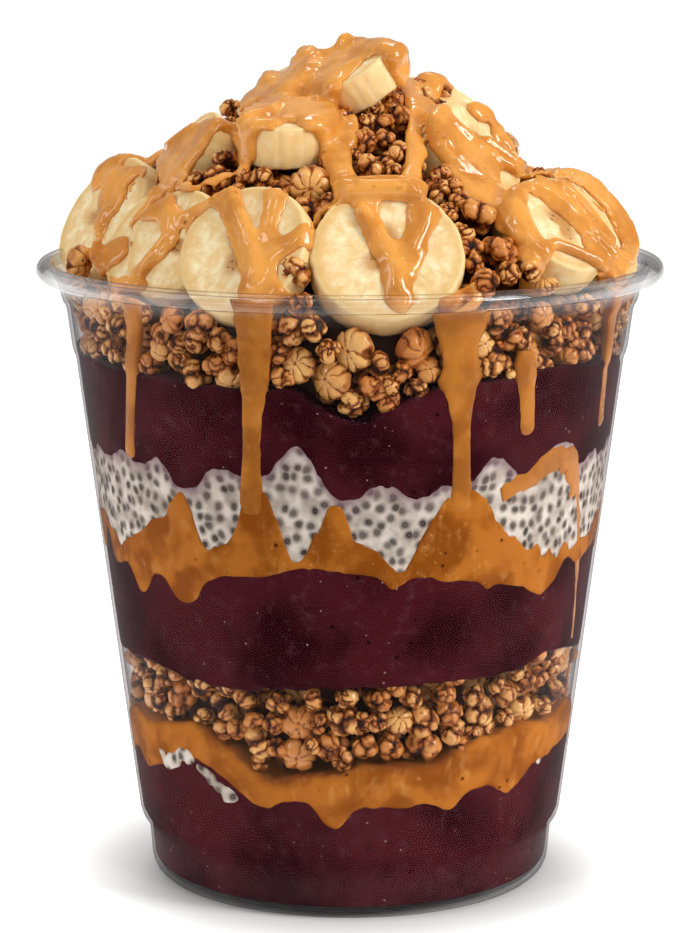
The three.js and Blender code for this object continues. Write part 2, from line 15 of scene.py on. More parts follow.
import bmesh
import bpy
import numpy as np
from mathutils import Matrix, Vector
from mathutils.bvhtree import BVHTree


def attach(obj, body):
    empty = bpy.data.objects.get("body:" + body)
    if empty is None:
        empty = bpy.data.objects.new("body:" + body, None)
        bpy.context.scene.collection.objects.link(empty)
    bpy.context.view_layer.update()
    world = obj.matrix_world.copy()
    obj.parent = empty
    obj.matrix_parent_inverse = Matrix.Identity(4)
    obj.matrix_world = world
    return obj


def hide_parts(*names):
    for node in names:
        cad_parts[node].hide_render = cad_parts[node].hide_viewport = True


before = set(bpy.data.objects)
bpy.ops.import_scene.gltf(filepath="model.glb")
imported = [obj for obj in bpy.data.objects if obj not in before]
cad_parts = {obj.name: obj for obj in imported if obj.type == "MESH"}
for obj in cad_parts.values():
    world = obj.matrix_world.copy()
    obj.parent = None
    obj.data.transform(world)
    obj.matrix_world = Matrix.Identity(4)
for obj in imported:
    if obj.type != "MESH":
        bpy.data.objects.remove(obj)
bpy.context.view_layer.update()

log = logging.getLogger("acai_bowl")

Array = np.ndarray
Colour = tuple[float, float, float]
Point = tuple[float, float, float]
Table = tuple[tuple[float, ...], ...]
Finish = bpy.types.Material
Piece = bpy.types.Object
Inputs = Mapping[str | int, Any]
Drop = tuple[Array, float]

MM = 0.001
ROOT = "root"


# ---- small tools


def linear(red: int, green: int, blue: int) -> Colour:
    """A colour seen on a screen, 0 to 255, as the light that a shader works in."""
    parts = (value / 255 for value in (red, green, blue))
    return tuple(v / 12.92 if v <= 0.04045 else ((v + 0.055) / 1.055) ** 2.4 for v in parts)


def ease(value: Array, low: float, high: float) -> Array:
    """A soft step from 0 at low to 1 at high."""
    share = np.clip((value - low) / (high - low), 0, 1)
    return share * share * (3 - 2 * share)


def polar(radius: Array | float, angle: Array | float, height: Array | float) -> Array:
    """Points round the cup's axis.

    Args:
        radius: Distance from the axis.
        angle: Turn from the front towards +X, in degrees.
        height: Height above the floor.

    Returns:
        The points, three numbers in the last axis.
    """
    turn = np.radians(angle)
    parts = np.broadcast_arrays(radius * np.sin(turn), -radius * np.cos(turn), height)
    return np.stack(parts, axis=-1).astype(float)


def unit(vectors: Array) -> Array:
    """The same directions with length 1."""
    return vectors / np.maximum(np.linalg.norm(vectors, axis=-1, keepdims=True), 1e-9)


@dataclass(frozen=True)
class Grain:
    """Soft noise in space, from -1 to 1, the same on every run.

    Attributes:
        size: Distance between its lumps.
        seed: Which noise it is.
    """

    size: float
    seed: int = 0

    def at(self, points: Array) -> Array:
        """The noise at some points.

        Args:
            points: Rows of three numbers.

        Returns:
            One number for each row.
        """
        cell = np.asarray(points, float) / self.size
        base = np.floor(cell).astype(np.int64)
        part = cell - base
        part = part * part * (3 - 2 * part)
        total = np.zeros(len(cell))
        for corner in itertools.product((0, 1), repeat=3):
            place = base + corner
            mixed = place[:, 0] * 73856093 ^ place[:, 1] * 19349663 ^ place[:, 2] * 83492791
            mixed = (mixed ^ (self.seed * 668265263)) & 0x7FFFFFFF
            mixed = ((mixed ^ (mixed >> 13)) * 1274126177) & 0x7FFFFFFF
            mixed = (mixed ^ (mixed >> 16)) & 0xFFFF
            weight = np.prod(np.where(corner, part, 1 - part), axis=1)
            total += (mixed / 32767.5 - 1) * weight
        return total


@dataclass
class Form:
    """A mesh while it is made.

    Attributes:
        points: Rows of three numbers, in millimetres.
        faces: Arrays of faces, each with its own number of corners.
        marks: Numbers kept for each point, which finishes read by name.
    """

    points: Array
    faces: list[Array]
    marks: dict[str, Array] = field(default_factory=dict)

    def joined(self, others: Iterable["Form"]) -> "Form":
        """This form and others as one.

        Args:
            others: Forms with the same marks.

        Returns:
            One form that holds them all.
        """
        every = [self, *others]
        starts = np.cumsum([0] + [len(form.points) for form in every])
        faces = [f + start for form, start in zip(every, starts) for f in form.faces]
        marks = {k: np.concatenate([form.marks[k] for form in every]) for k in self.marks}
        return Form(np.concatenate([form.points for form in every]), faces, marks)

    def triangles(self) -> int:
        """How many triangles the faces make."""
        return sum(len(f) * (f.shape[1] - 2) for f in self.faces)

    def make(self, name: str, turned_out: bool = False) -> Piece:
        """The Blender object, smooth and in metres.

        Args:
            name: The object's name.
            turned_out: Whether the faces still have to be turned outwards.

        Returns:
            The object, linked to the scene.
        """
        mesh = bpy.data.meshes.new(name)
        mesh.vertices.add(len(self.points))
        mesh.vertices.foreach_set("co", (self.points * MM).astype(np.float32).ravel())
        corners = np.concatenate([f.ravel() for f in self.faces]).astype(np.int32)
        sizes = np.concatenate([np.full(len(f), f.shape[1]) for f in self.faces])
        mesh.loops.add(len(corners))
        mesh.loops.foreach_set("vertex_index", corners)
        mesh.polygons.add(len(sizes))
        mesh.polygons.foreach_set("loop_start", (np.cumsum(sizes) - sizes).astype(np.int32))
        mesh.update(calc_edges=True)
        for mark, values in self.marks.items():
            layer = mesh.attributes.new(mark, "FLOAT", "POINT")
            layer.data.foreach_set("value", np.asarray(values, np.float32))
        if turned_out:
            work = bmesh.new()
            work.from_mesh(mesh)
            bmesh.ops.recalc_face_normals(work, faces=work.faces)
            work.to_mesh(mesh)
            work.free()
        mesh.validate()
        mesh.shade_smooth()
        return placed(name, mesh)


def quads(rows: int, columns: int, closed: bool = True) -> Array:
    """Faces between neighbouring rows of points.

    Args:
        rows: How many rows there are.
        columns: How many points each row has.
        closed: Whether each row runs once round.

    Returns:
        The faces, four corners each.
    """
    across = np.arange(columns if closed else columns - 1)
    beside = (across + 1) % columns
    low = np.arange(rows - 1)[:, None] * columns
    high = low + columns
    return np.stack([low + across, low + beside, high + beside, high + across], -1).reshape(-1, 4)


def capped(rows: int, columns: int) -> list[Array]:
    """Faces of a stack of rings closed at both ends.

    Args:
        rows: How many rings there are.
        columns: How many points each has; the first and the last ring's middles come after them.

    Returns:
        The faces, by their numbers of corners.
    """
    middle, last = np.full(columns, rows * columns), (rows - 1) * columns
    ring, after = np.arange(columns), np.roll(np.arange(columns), -1)
    low, high = (middle, after, ring), (middle + 1, ring + last, after + last)
    return [quads(rows, columns), np.stack(low, -1), np.stack(high, -1)]


def ball(level: int) -> tuple[Array, Array]:
    """A round ball of radius 1.

    Args:
        level: How often its faces are divided.

    Returns:
        Its points and its triangles.
    """
    work = bmesh.new()
    bmesh.ops.create_icosphere(work, subdivisions=level, radius=1)
    points = np.array([v.co for v in work.verts], float)
    faces = np.array([[v.index for v in f.verts] for f in work.faces])
    work.free()
    return points, faces


def placed(name: str, data: bpy.types.ID) -> Piece:
    """A new object in the scene that shows a mesh, a lamp or a camera."""
    made = bpy.data.objects.new(name, data)
    bpy.context.scene.collection.objects.link(made)
    return made


def settled(form: Form, name: str, changes: Sequence[tuple[str, Mapping[str, Any]]]) -> Piece:
    """An object with modifiers added and applied.

    Args:
        form: The shape to start from.
        name: The object's name.
        changes: Each modifier's type and settings, in order.

    Returns:
        The object, whose mesh is the changed one.
    """
    rough = form.make(name + "_rough")
    for kind, settings in changes:
        modifier = rough.modifiers.new(kind.lower(), kind)
        for key, value in settings.items():
            setattr(modifier, key, value)
    seen = rough.evaluated_get(bpy.context.evaluated_depsgraph_get())
    mesh = bpy.data.meshes.new_from_object(seen)
    mesh.name = name
    bpy.data.objects.remove(rough)
    mesh.shade_smooth()
    return placed(name, mesh)


# ---- shader tools


class Value:
    """A socket in an expression: each operator adds the Math node that it stands for."""

    def __init__(self, tree: "Tree", socket: bpy.types.NodeSocket) -> None:
        """Wraps an output socket of a tree."""
        self.tree = tree
        self.socket = socket

    def _math(self, operation: str, *others: "Value | float") -> "Value":
        """A Math node on this value and others."""
        return self.tree.math(operation, self, *others)

    def __add__(self, other: "Value | float") -> "Value":
        """This plus another."""
        return self._math("ADD", other)

    def __sub__(self, other: "Value | float") -> "Value":
        """This less another."""
        return self._math("SUBTRACT", other)

    def __rsub__(self, other: float) -> "Value":
        """A number less this."""
        return self.tree.math("SUBTRACT", other, self)

    def __mul__(self, other: "Value | float") -> "Value":
        """This times another."""
        return self._math("MULTIPLY", other)

    def __pow__(self, other: float) -> "Value":
        """This to a power."""
        return self._math("POWER", other)

    __radd__ = __add__
    __rmul__ = __mul__

    def most(self, other: "Value | float") -> "Value":
        """The larger of this and another."""
        return self._math("MAXIMUM", other)

    def between(self, low: float, high: float) -> "Value":
        """A soft step from 0 at low to 1 at high, which may be the smaller one."""
        settings = {"interpolation_type": "SMOOTHSTEP"}
        inputs = {"Value": self, "From Min": low, "From Max": high}
        return self.tree.value("MapRange", settings, inputs, "Result")


class Tree:
    """The nodes of one material."""

    def __init__(self, name: str) -> None:
        """Starts an empty material.

        Args:
            name: The material's name.
        """
        self.material = bpy.data.materials.new(name)
        self.material.use_nodes = True
        self.nodes = self.material.node_tree.nodes
        self.nodes.clear()

    def node(self, kind: str, settings: Mapping[str, Any], inputs: Inputs) -> bpy.types.Node:
        """Adds a node.

        Args:
            kind: The node's type, without the word ShaderNode that it begins with.
            settings: Its own settings, set first.
            inputs: Values or links of its sockets.

        Returns:
            The node.
        """
        made = self.nodes.new("ShaderNode" + kind)
        for key, value in settings.items():
            setattr(made, key, value)
        for key, value in inputs.items():
            socket = made.inputs[key]
            if isinstance(value, Value):
                self.material.node_tree.links.new(value.socket, socket)
            elif isinstance(value, tuple) and len(value) == 3 and socket.type == "RGBA":
                socket.default_value = (*value, 1)
            else:
                socket.default_value = value
        return made

    def value(self, kind: str, settings: Mapping[str, Any], inputs: Inputs, output: str | int = 0) -> Value:
        """Adds a node and wraps one of its outputs."""
        return Value(self, self.node(kind, settings, inputs).outputs[output])

    def math(self, operation: str, *values: Value | float) -> Value:
        """A Math node on some values."""
        return self.value("Math", {"operation": operation}, dict(enumerate(values)))

    def place(self) -> Value:
        """Where a point is, in metres."""
        return self.value("TexCoord", {}, {}, "Object")

    def axes(self) -> list[Value]:
        """The three numbers of a point's place, in metres."""
        parts = self.node("SeparateXYZ", {}, {0: self.place()})
        return [Value(self, part) for part in parts.outputs]

    def mark(self, name: str) -> Value:
        """A number that the mesh keeps for each point."""
        return self.value("Attribute", {"attribute_name": name}, {}, "Fac")

    def noise(self, size: float, detail: float = 2, where: Value | None = None, rough: float = 0.5) -> Value:
        """Soft noise from 0 to 1.

        Args:
            size: Millimetres between its lumps.
            detail: How many finer noises are added.
            where: The coordinates, or else the point's own place.
            rough: How strong the finer noises are.

        Returns:
            The noise.
        """
        inputs = {"Vector": where or self.place(), "Scale": 1 / (size * MM),
                  "Detail": detail, "Roughness": rough}
        return self.value("TexNoise", {"noise_dimensions": "3D"}, inputs, 0)

    def cells(self, size: float, where: Value | None = None, loose: float = 1, flat: bool = False,
              output: str = "Distance") -> Value:
        """Distance to the nearest of many scattered points, as a share of their spacing.

        Args:
            size: Millimetres between them.
            where: The coordinates, or else the point's own place.
            loose: How far they stray from a grid, from 0 to 1.
            flat: Whether they lie in a plane.
            output: Which output is wanted.

        Returns:
            The distance, or that output.
        """
        settings = {"voronoi_dimensions": "2D" if flat else "3D"}
        inputs = {"Vector": where or self.place(), "Scale": 1 / (size * MM), "Randomness": loose}
        return self.value("TexVoronoi", settings, inputs, output)

    def blend(self, share: Value | float, first: Value | Colour, second: Value | Colour) -> Value:
        """Goes from the first colour, where the share is 0, to the second."""
        settings = {"data_type": "RGBA", "clamp_factor": True}
        return self.value("Mix", settings, {0: share, 6: first, 7: second}, 2)

    def moved(self, where: Value, scale: Point) -> Value:
        """Coordinates stretched along each axis."""
        return self.value("VectorMath", {"operation": "MULTIPLY"}, {0: where, 1: scale})

    def bump(self, height: Value, depth: float, strength: float = 1) -> Value:
        """A normal that leans with a height, whose 1 stands for so many millimetres."""
        inputs = {"Height": height, "Distance": depth * MM, "Strength": strength}
        return self.value("Bump", {}, inputs)

    def surface(self, shader: Value) -> Finish:
        """Ends the tree with its shader."""
        self.node("OutputMaterial", {"target": "ALL"}, {"Surface": shader})
        return self.material

    def principled(self, inputs: Inputs) -> Finish:
        """Ends the tree with a Principled shader."""
        return self.surface(self.value("BsdfPrincipled", {}, inputs))


# ---- finishes


@dataclass(frozen=True)
class ClearPlastic:
    """The cup's clear plastic, thin enough not to shift what is behind it.

    Attributes:
        face: What it passes where it is seen head on.
        edge: What it passes where it is seen along its surface: its grey is partly the real loss to the mirror image
            and partly painted shade for the dark edges of plastic that bends light.
        mirror: How strong its mirror image is on the wall.
        lip_mirror: How much stronger it is on the lip and the foot.
        gloss_loss: How matt that image is.
    """

    face: Colour = (0.985, 0.985, 0.985)
    edge: Colour = (0.46, 0.44, 0.44)
    mirror: float = 0.12
    lip_mirror: float = 0.75
    gloss_loss: float = 0.05

    def material(self) -> Finish:
        """The finished material, which lets shadows through."""
        tree = Tree("clear_plastic")
        waves = tree.noise(14, 1)
        z = tree.axes()[2]
        ends = z.between(0.1105, 0.1135).most(z.between(0.012, 0.006) * 0.25)
        facing = tree.value("LayerWeight", {}, {"Blend": 0.5}, "Facing")
        head_on = tree.value("BsdfTransparent", {}, {"Color": self.face})
        # Painted shade in part: less, greyer light passes where the wall is seen along its surface, in place of the
        # dark bands that bent light gives at the cup's edges.
        along = tree.value("BsdfTransparent", {}, {"Color": self.edge})
        body = tree.value("MixShader", {}, {0: facing.between(0.5, 1.0), 1: head_on, 2: along})
        image = tree.value("BsdfGlossy", {}, {
            "Color": (0.95, 0.95, 0.95), "Roughness": self.gloss_loss, "Normal": tree.bump(waves, 0.06, 0.35),
        })
        seen = tree.value("MixShader", {}, {
            0: (0.035 + 0.85 * facing**4.5) * (self.mirror + self.lip_mirror * ends),
            1: body, 2: image,
        })
        shadow = tree.value("LightPath", {}, {}, "Is Shadow Ray")
        return tree.surface(tree.value("MixShader", {}, {0: shadow, 1: seen, 2: head_on}))


@dataclass(frozen=True)
class AcaiPuree:
    """Frozen berry puree, dark wine red with a few pale specks.

    Attributes:
        deep: Its darkest colour.
        full: Its usual colour.
        hazy: Its colour where it has thawed to a haze.
    """

    deep: Colour = linear(42, 7, 13)
    full: Colour = linear(70, 21, 28)
    hazy: Colour = linear(98, 56, 62)

    def material(self) -> Finish:
        """The finished material."""
        tree = Tree("acai_puree")
        broad = tree.noise(17, 3)
        fine = tree.noise(2.2, 4, rough=0.65)
        body = tree.blend(broad.between(0.36, 0.62), self.deep, self.full)
        body = tree.blend(fine.between(0.5, 0.82) * 0.55, body, self.hazy)
        pale = tree.cells(2.3).between(0.10, 0.06)
        pale = pale * tree.noise(5, 1).between(0.42, 0.56)
        body = tree.blend(pale * 0.75, body, linear(190, 142, 138))
        pips = tree.cells(4.1, loose=0.9).between(0.12, 0.07)
        body = tree.blend(pips * 0.8, body, linear(18, 2, 6))
        return tree.principled({
            "Base Color": body, "Roughness": 0.34 + 0.3 * fine.between(0.3, 0.7),
            "Specular IOR Level": 0.0, "Normal": tree.bump(fine, 0.22, 0.5),
        })


@dataclass(frozen=True)
class NutButter:
    """Smooth, glossy peanut butter.

    Attributes:
        name: The material's name.
        deep: Its colour where it is thick or shaded.
        full: Its usual colour.
        pale: Its colour where it is thin or streaked.
        specks: How many dark specks of skin it has, from 0 to 1.
        gloss_loss: How matt it is.
        shine: How strongly it mirrors.
    """

    name: str
    deep: Colour
    full: Colour
    pale: Colour
    specks: float = 0.5
    gloss_loss: float = 0.2
    shine: float = 0.4

    def material(self) -> Finish:
        """The finished material."""
        tree = Tree(self.name)
        broad = tree.noise(7, 3)
        streaks = tree.noise(2.1, 4, tree.moved(tree.place(), (1.0, 1.0, 0.5)), 0.6)
        body = tree.blend(broad.between(0.36, 0.62), self.deep, self.full)
        body = tree.blend(streaks.between(0.52, 0.78) * 0.45, body, self.pale)
        body = tree.blend(tree.noise(0.9, 3, rough=0.65).between(0.60, 0.72) * 0.5 * self.specks, body, self.pale)
        soft = tree.noise(2.6, 1)
        dots = tree.cells(2.8).between(0.17, 0.09) * tree.noise(5, 1).between(0.44, 0.56) * self.specks
        body = tree.blend(dots, body, linear(74, 34, 12))
        return tree.principled({
            "Base Color": body, "Roughness": self.gloss_loss + 0.1 * soft.between(0.35, 0.75),
            "Subsurface Weight": 0.12, "Subsurface Radius": (1.0, 0.45, 0.18), "Subsurface Scale": 0.0016,
            "Specular IOR Level": self.shine, "Normal": tree.bump(soft + broad * 2.0, 0.3, 0.45),
        })


@dataclass(frozen=True)
class ChiaPudding:
    """White pudding full of soaked seeds, each a grey dot in its own clear jelly, with a painted highlight at its
    middle.

    Attributes:
        milk: The pudding's colour.
        seed: The colour of a seed.
        haze: The colour where berry juice has reached it.
        spacing: From seed to seed.
    """

    milk: Colour = linear(224, 212, 200)
    seed: Colour = linear(58, 48, 44)
    haze: Colour = linear(136, 108, 116)
    spacing: float = 2.35

    def material(self) -> Finish:
        """The finished material."""
        tree = Tree("chia_pudding")
        x, y, z = tree.axes()
        turn = tree.math("ARCTAN2", x, y * -1.0)
        flat = tree.value("CombineXYZ", {}, {0: turn * (47 * MM), 1: z * 0.93})
        warp = tree.value("TexNoise", {}, {"Vector": flat, "Scale": 1 / (4 * MM)}, 1)
        warp = tree.value("VectorMath", {"operation": "SCALE"}, {0: warp, "Scale": 1.3 * MM})
        flat = tree.value("VectorMath", {"operation": "ADD"}, {0: flat, 1: warp})
        away = tree.cells(self.spacing, flat, 0.78, True)
        tone = tree.cells(self.spacing, flat, 0.78, True, "Color")
        tone = tree.value("SeparateXYZ", {}, {0: tone})
        milk = tree.blend(tree.noise(3.5, 3).between(0.35, 0.7), self.milk, linear(168, 154, 141))
        body = tree.blend(away.between(0.56, 0.30) * 0.6, milk, linear(138, 124, 114))
        core = away.between(0.38, 0.14) * (0.6 + 0.4 * tone)
        body = tree.blend(core, body, self.seed)
        # Painted highlight: a paler dot at the middle of each seed.
        body = tree.blend(away.between(0.10, 0.03) * 0.45, body, linear(126, 116, 108))
        body = tree.blend(tree.mark("haze") * 0.75, body, self.haze)
        return tree.principled({
            "Base Color": body, "Roughness": 0.3 + 0.2 * away.between(0.2, 0.5),
            "Subsurface Weight": 0.1, "Subsurface Radius": (1, 0.9, 0.8), "Subsurface Scale": 0.001,
            "Specular IOR Level": 0.0, "Normal": tree.bump(away.between(0.4, 0.1), 0.12, 0.5),
        })


@dataclass(frozen=True)
class Toasted:
    """Toasted granola, glossy with syrup, with painted shade deep in its creases.

    Attributes:
        crease_shade: The colour of the painted shade deep in the creases.
        half_shade_amber: The colour of the painted half shade beside them.
        crust: The usual colour.
        pale: The colour of the paler clusters.
    """

    crease_shade: Colour = linear(46, 16, 5)
    half_shade_amber: Colour = linear(160, 84, 26)
    crust: Colour = linear(208, 126, 50)
    pale: Colour = linear(240, 182, 104)

    def material(self) -> Finish:
        """The finished material."""
        tree = Tree("granola_clusters")
        fold, tone = tree.mark("fold"), tree.mark("tone")
        grain = tree.noise(1.5, 4, rough=0.6)
        body = tree.blend((tone * 0.75 + grain * 0.5).between(0.15, 1.1), self.crust, self.pale)
        body = tree.blend(grain.between(0.56, 0.75) * 0.5, body, linear(116, 60, 22))
        # Painted shade: a half shade beside each crease and a deep shade in it.
        body = tree.blend(fold.between(0.12, 0.5), body, self.half_shade_amber)
        body = tree.blend(fold.between(0.42, 0.98), body, self.crease_shade)
        char = tree.cells(1.9).between(0.2, 0.1) * tree.noise(4, 1).between(0.5, 0.62)
        body = tree.blend(char * 0.8, body, linear(40, 14, 6))
        return tree.principled({
            "Base Color": body, "Roughness": 0.3 + 0.3 * grain.between(0.35, 0.7),
            "Specular IOR Level": 0.12, "Coat Weight": fold.between(0.6, 0.2) * 0.9, "Coat Roughness": 0.09,
            "Subsurface Weight": 0.06, "Subsurface Radius": (1, 0.4, 0.15), "Subsurface Scale": 0.001,
            "Normal": tree.bump(grain, 0.28, 0.8),
        })


@dataclass(frozen=True)
class BananaFlesh:
    """Cut banana: creamy, with a wetter core in three lobes and a firm pale rim.

    Attributes:
        cream: The usual colour of the cut face.
        rim: The colour beside the rim.
        core: The colour round the seeds.
        side: The colour of the peeled side.
    """

    cream: Colour = linear(237, 200, 137)
    rim: Colour = linear(222, 180, 108)
    core: Colour = linear(190, 130, 58)
    side: Colour = linear(246, 209, 143)

    def material(self) -> Finish:
        """The finished material."""
        tree = Tree("banana_flesh")
        across, lobe, rib = tree.mark("across"), tree.mark("lobe"), tree.mark("rib")
        mottle = tree.noise(2.4, 4, rough=0.6)
        spokes = tree.value("CombineXYZ", {}, {
            0: tree.mark("east") * 9.0, 1: tree.mark("north") * 9.0, 2: across * 2.2,
        })
        fibre = tree.value("TexNoise", {}, {"Vector": spokes, "Scale": 1.0, "Detail": 3.0}, 0)
        face = tree.blend(mottle.between(0.35, 0.72), self.cream, linear(250, 234, 190))
        face = tree.blend(fibre.between(0.52, 0.7) * across.between(0.2, 0.5) * 0.5, face, linear(224, 184, 112))
        face = tree.blend(across.between(0.74, 0.92) * 0.75, face, self.rim)
        face = tree.blend(across.between(0.93, 1.0) * 0.7, face, linear(242, 216, 160))
        face = tree.blend(lobe * (0.62 + 0.5 * fibre), face, self.core)
        # Painted shade: the peeled side is darker along its grooves.
        side = tree.blend(rib.between(0.5, 1.0) * 0.55, self.side, linear(222, 180, 116))
        side = tree.blend(mottle.between(0.45, 0.75) * 0.6, side, linear(252, 234, 190))
        body = tree.blend(across.between(1.02, 1.12), face, side)
        return tree.principled({
            "Base Color": body, "Roughness": 0.3 + 0.25 * mottle.between(0.3, 0.7),
            "Subsurface Weight": 0.22, "Subsurface Radius": (1.0, 0.7, 0.35), "Subsurface Scale": 0.0022,
            "Specular IOR Level": 0.45, "Normal": tree.bump(mottle + fibre * 0.6, 0.16, 0.6),
        })


@dataclass(frozen=True)
class SeedSkin:
    """The tiny brown seeds in a banana's core."""

    skin: Colour = linear(140, 96, 50)

    def material(self) -> Finish:
        """The finished material."""
        tree = Tree("banana_seeds")
        grain = tree.noise(0.4, 2)
        body = tree.blend(grain.between(0.35, 0.7), self.skin, linear(172, 126, 76))
        return tree.principled({
            "Base Color": body, "Roughness": 0.35 + 0.2 * grain, "Normal": tree.bump(grain, 0.05),
        })


@dataclass(frozen=True)
class PaleFloor:
    """The plain pale floor, which glows though it is no lamp, as painted light; it does not glow close round the cup,
    which paints the cup's soft shadow, nor in front of the cup, where it is darker too.

    Attributes:
        pale: Its colour.
        painted_glow: How bright it glows, as painted light.
    """

    pale: Colour = (0.93, 0.93, 0.925)
    painted_glow: float = 0.70

    def material(self) -> Finish:
        """The finished material."""
        tree = Tree("pale_floor")
        x, y, _ = tree.axes()
        away = (x * x + y * y) ** 0.5
        # Painted light and shadow: the floor glows except close round the cup, which paints its soft shadow, and in
        # front of it.
        painted_glow_mask = away.between(0.034, 0.064) * y.between(-0.16, -0.05).most(away.between(0.3, 0.6))
        soft = tree.noise(400, 1)
        body = tree.blend(soft.between(0.3, 0.7), self.pale, (0.915, 0.915, 0.912))
        body = tree.blend(y.between(-0.05, -0.14) * away.between(0.6, 0.3), body, (0.42, 0.41, 0.41))
        return tree.principled({
            "Base Color": body, "Roughness": 0.7, "Specular IOR Level": 0.2,
            "Emission Color": tree.blend(painted_glow_mask, (0, 0, 0), (1, 1, 1)), "Emission Strength": self.painted_glow,
        })


def dress(piece: Piece, finish: Finish, nodes: Sequence[str]) -> None:
    """Gives a piece its finish and ties it to the frame.

    Args:
        piece: The piece.
        finish: Its material.
        nodes: The nodes that it stands for.
    """
    piece.data.materials.clear()
    piece.data.materials.append(finish)
    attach(piece, ROOT)
    if nodes:
        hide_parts(*nodes)
    log.info("%s: %d faces, for %s", piece.name, len(piece.data.polygons), ", ".join(nodes) or "itself")


# ---- the camera and the light


@dataclass(frozen=True)
class Eye:
    """The camera that took the picture.

    Attributes:
        distance: From the cup's axis to the lens, along -Y.
        height: Of the lens above the floor.
        tilt: How far it looks down.
        focus: Its focal length in pixels of the picture.
        width: The picture's width in pixels.
        tall: The picture's height in pixels.
    """

    distance: float = 596.2
    height: float = 187.1
    tilt: float = 10.44
    focus: float = 3205
    width: int = 700
    tall: int = 933

    def start(self) -> Array:
        """Where the lens is."""
        return np.array([0.0, -self.distance, self.height])

    def towards(self, across: float, down: float) -> Array:
        """The direction in which a pixel looks.

        Args:
            across: Pixels from the picture's left side.
            down: Pixels from its top.

        Returns:
            A direction of length 1.
        """
        u = (across - self.width / 2) / self.focus
        v = (self.tall / 2 - down) / self.focus
        c, s = math.cos(math.radians(self.tilt)), math.sin(math.radians(self.tilt))
        return unit(np.array([u, c + v * s, -s + v * c]))

    def make(self) -> None:
        """Puts the camera in the scene."""
        lens = bpy.data.cameras.new("camera")
        lens.sensor_width = 36
        lens.lens = self.focus / max(self.width, self.tall) * 36
        lens.clip_start, lens.clip_end = 0.02, 60
        camera = placed("camera", lens)
        camera.location = self.start() * MM
        camera.rotation_euler = (math.radians(90 - self.tilt), 0, 0)
        bpy.context.scene.camera = camera


@dataclass(frozen=True)
class Studio:
    """A pale floor, an even white room and soft lamps.

    Attributes:
        room: Brightness of the room.
        lamps: Each lamp's name, place, width, height and power in watts.
    """

    room: float = 0.365
    lamps: tuple[tuple[str, Point, float, float, float], ...] = (
        ("key", (600, -360, 480), 220, 420, 3.9),
        ("fill", (-620, -260, 420), 160, 520, 1.0),
        ("back", (-160, 560, 620), 420, 220, 1.5),
        ("top", (60, 40, 800), 500, 500, 1.2),
        ("strip_left", (-300, -420, 560), 36, 200, 0.3),
        ("strip_right", (240, -500, 600), 36, 200, 0.3),
        ("strip_back", (-40, 330, 640), 200, 36, 0.3),
    )

    def make(self) -> None:
        """Builds the floor, the room's light and the lamps."""
        self._make_floor()
        self._make_room()
        for name, place, width, height, power in self.lamps:
            light = bpy.data.lights.new(name, "AREA")
            light.shape = "RECTANGLE"
            light.size, light.size_y = width * MM, height * MM
            light.energy = power
            lamp = placed(name, light)
            lamp.visible_glossy = name not in ("back", "top")
            lamp.location = Vector(place) * MM
            aim = Vector((0, 0, 90 * MM)) - lamp.location
            lamp.rotation_euler = aim.to_track_quat("-Z", "Y").to_euler()
        view = bpy.context.scene.view_settings
        view.view_transform = "Standard"
        view.look = "None"

    def _make_floor(self) -> None:
        """Builds the floor, which fills the picture behind the cup."""
        count, reach = 24, 9000.0
        line = np.linspace(-reach, reach, count)
        x, y = np.meshgrid(line, line)
        points = np.stack([x.ravel(), y.ravel(), np.full(x.size, -0.02)], -1)
        floor = Form(points, [quads(count, count, closed=False)]).make("floor")
        floor.data.materials.append(PaleFloor().material())

    def _make_room(self) -> None:
        """Makes the world an even white."""
        world = bpy.data.worlds.new("room")
        world.use_nodes = True
        background = world.node_tree.nodes["Background"]
        background.inputs["Color"].default_value = (1, 0.995, 0.985, 1)
        background.inputs["Strength"].default_value = self.room
        bpy.context.scene.world = world


# ---- the cup


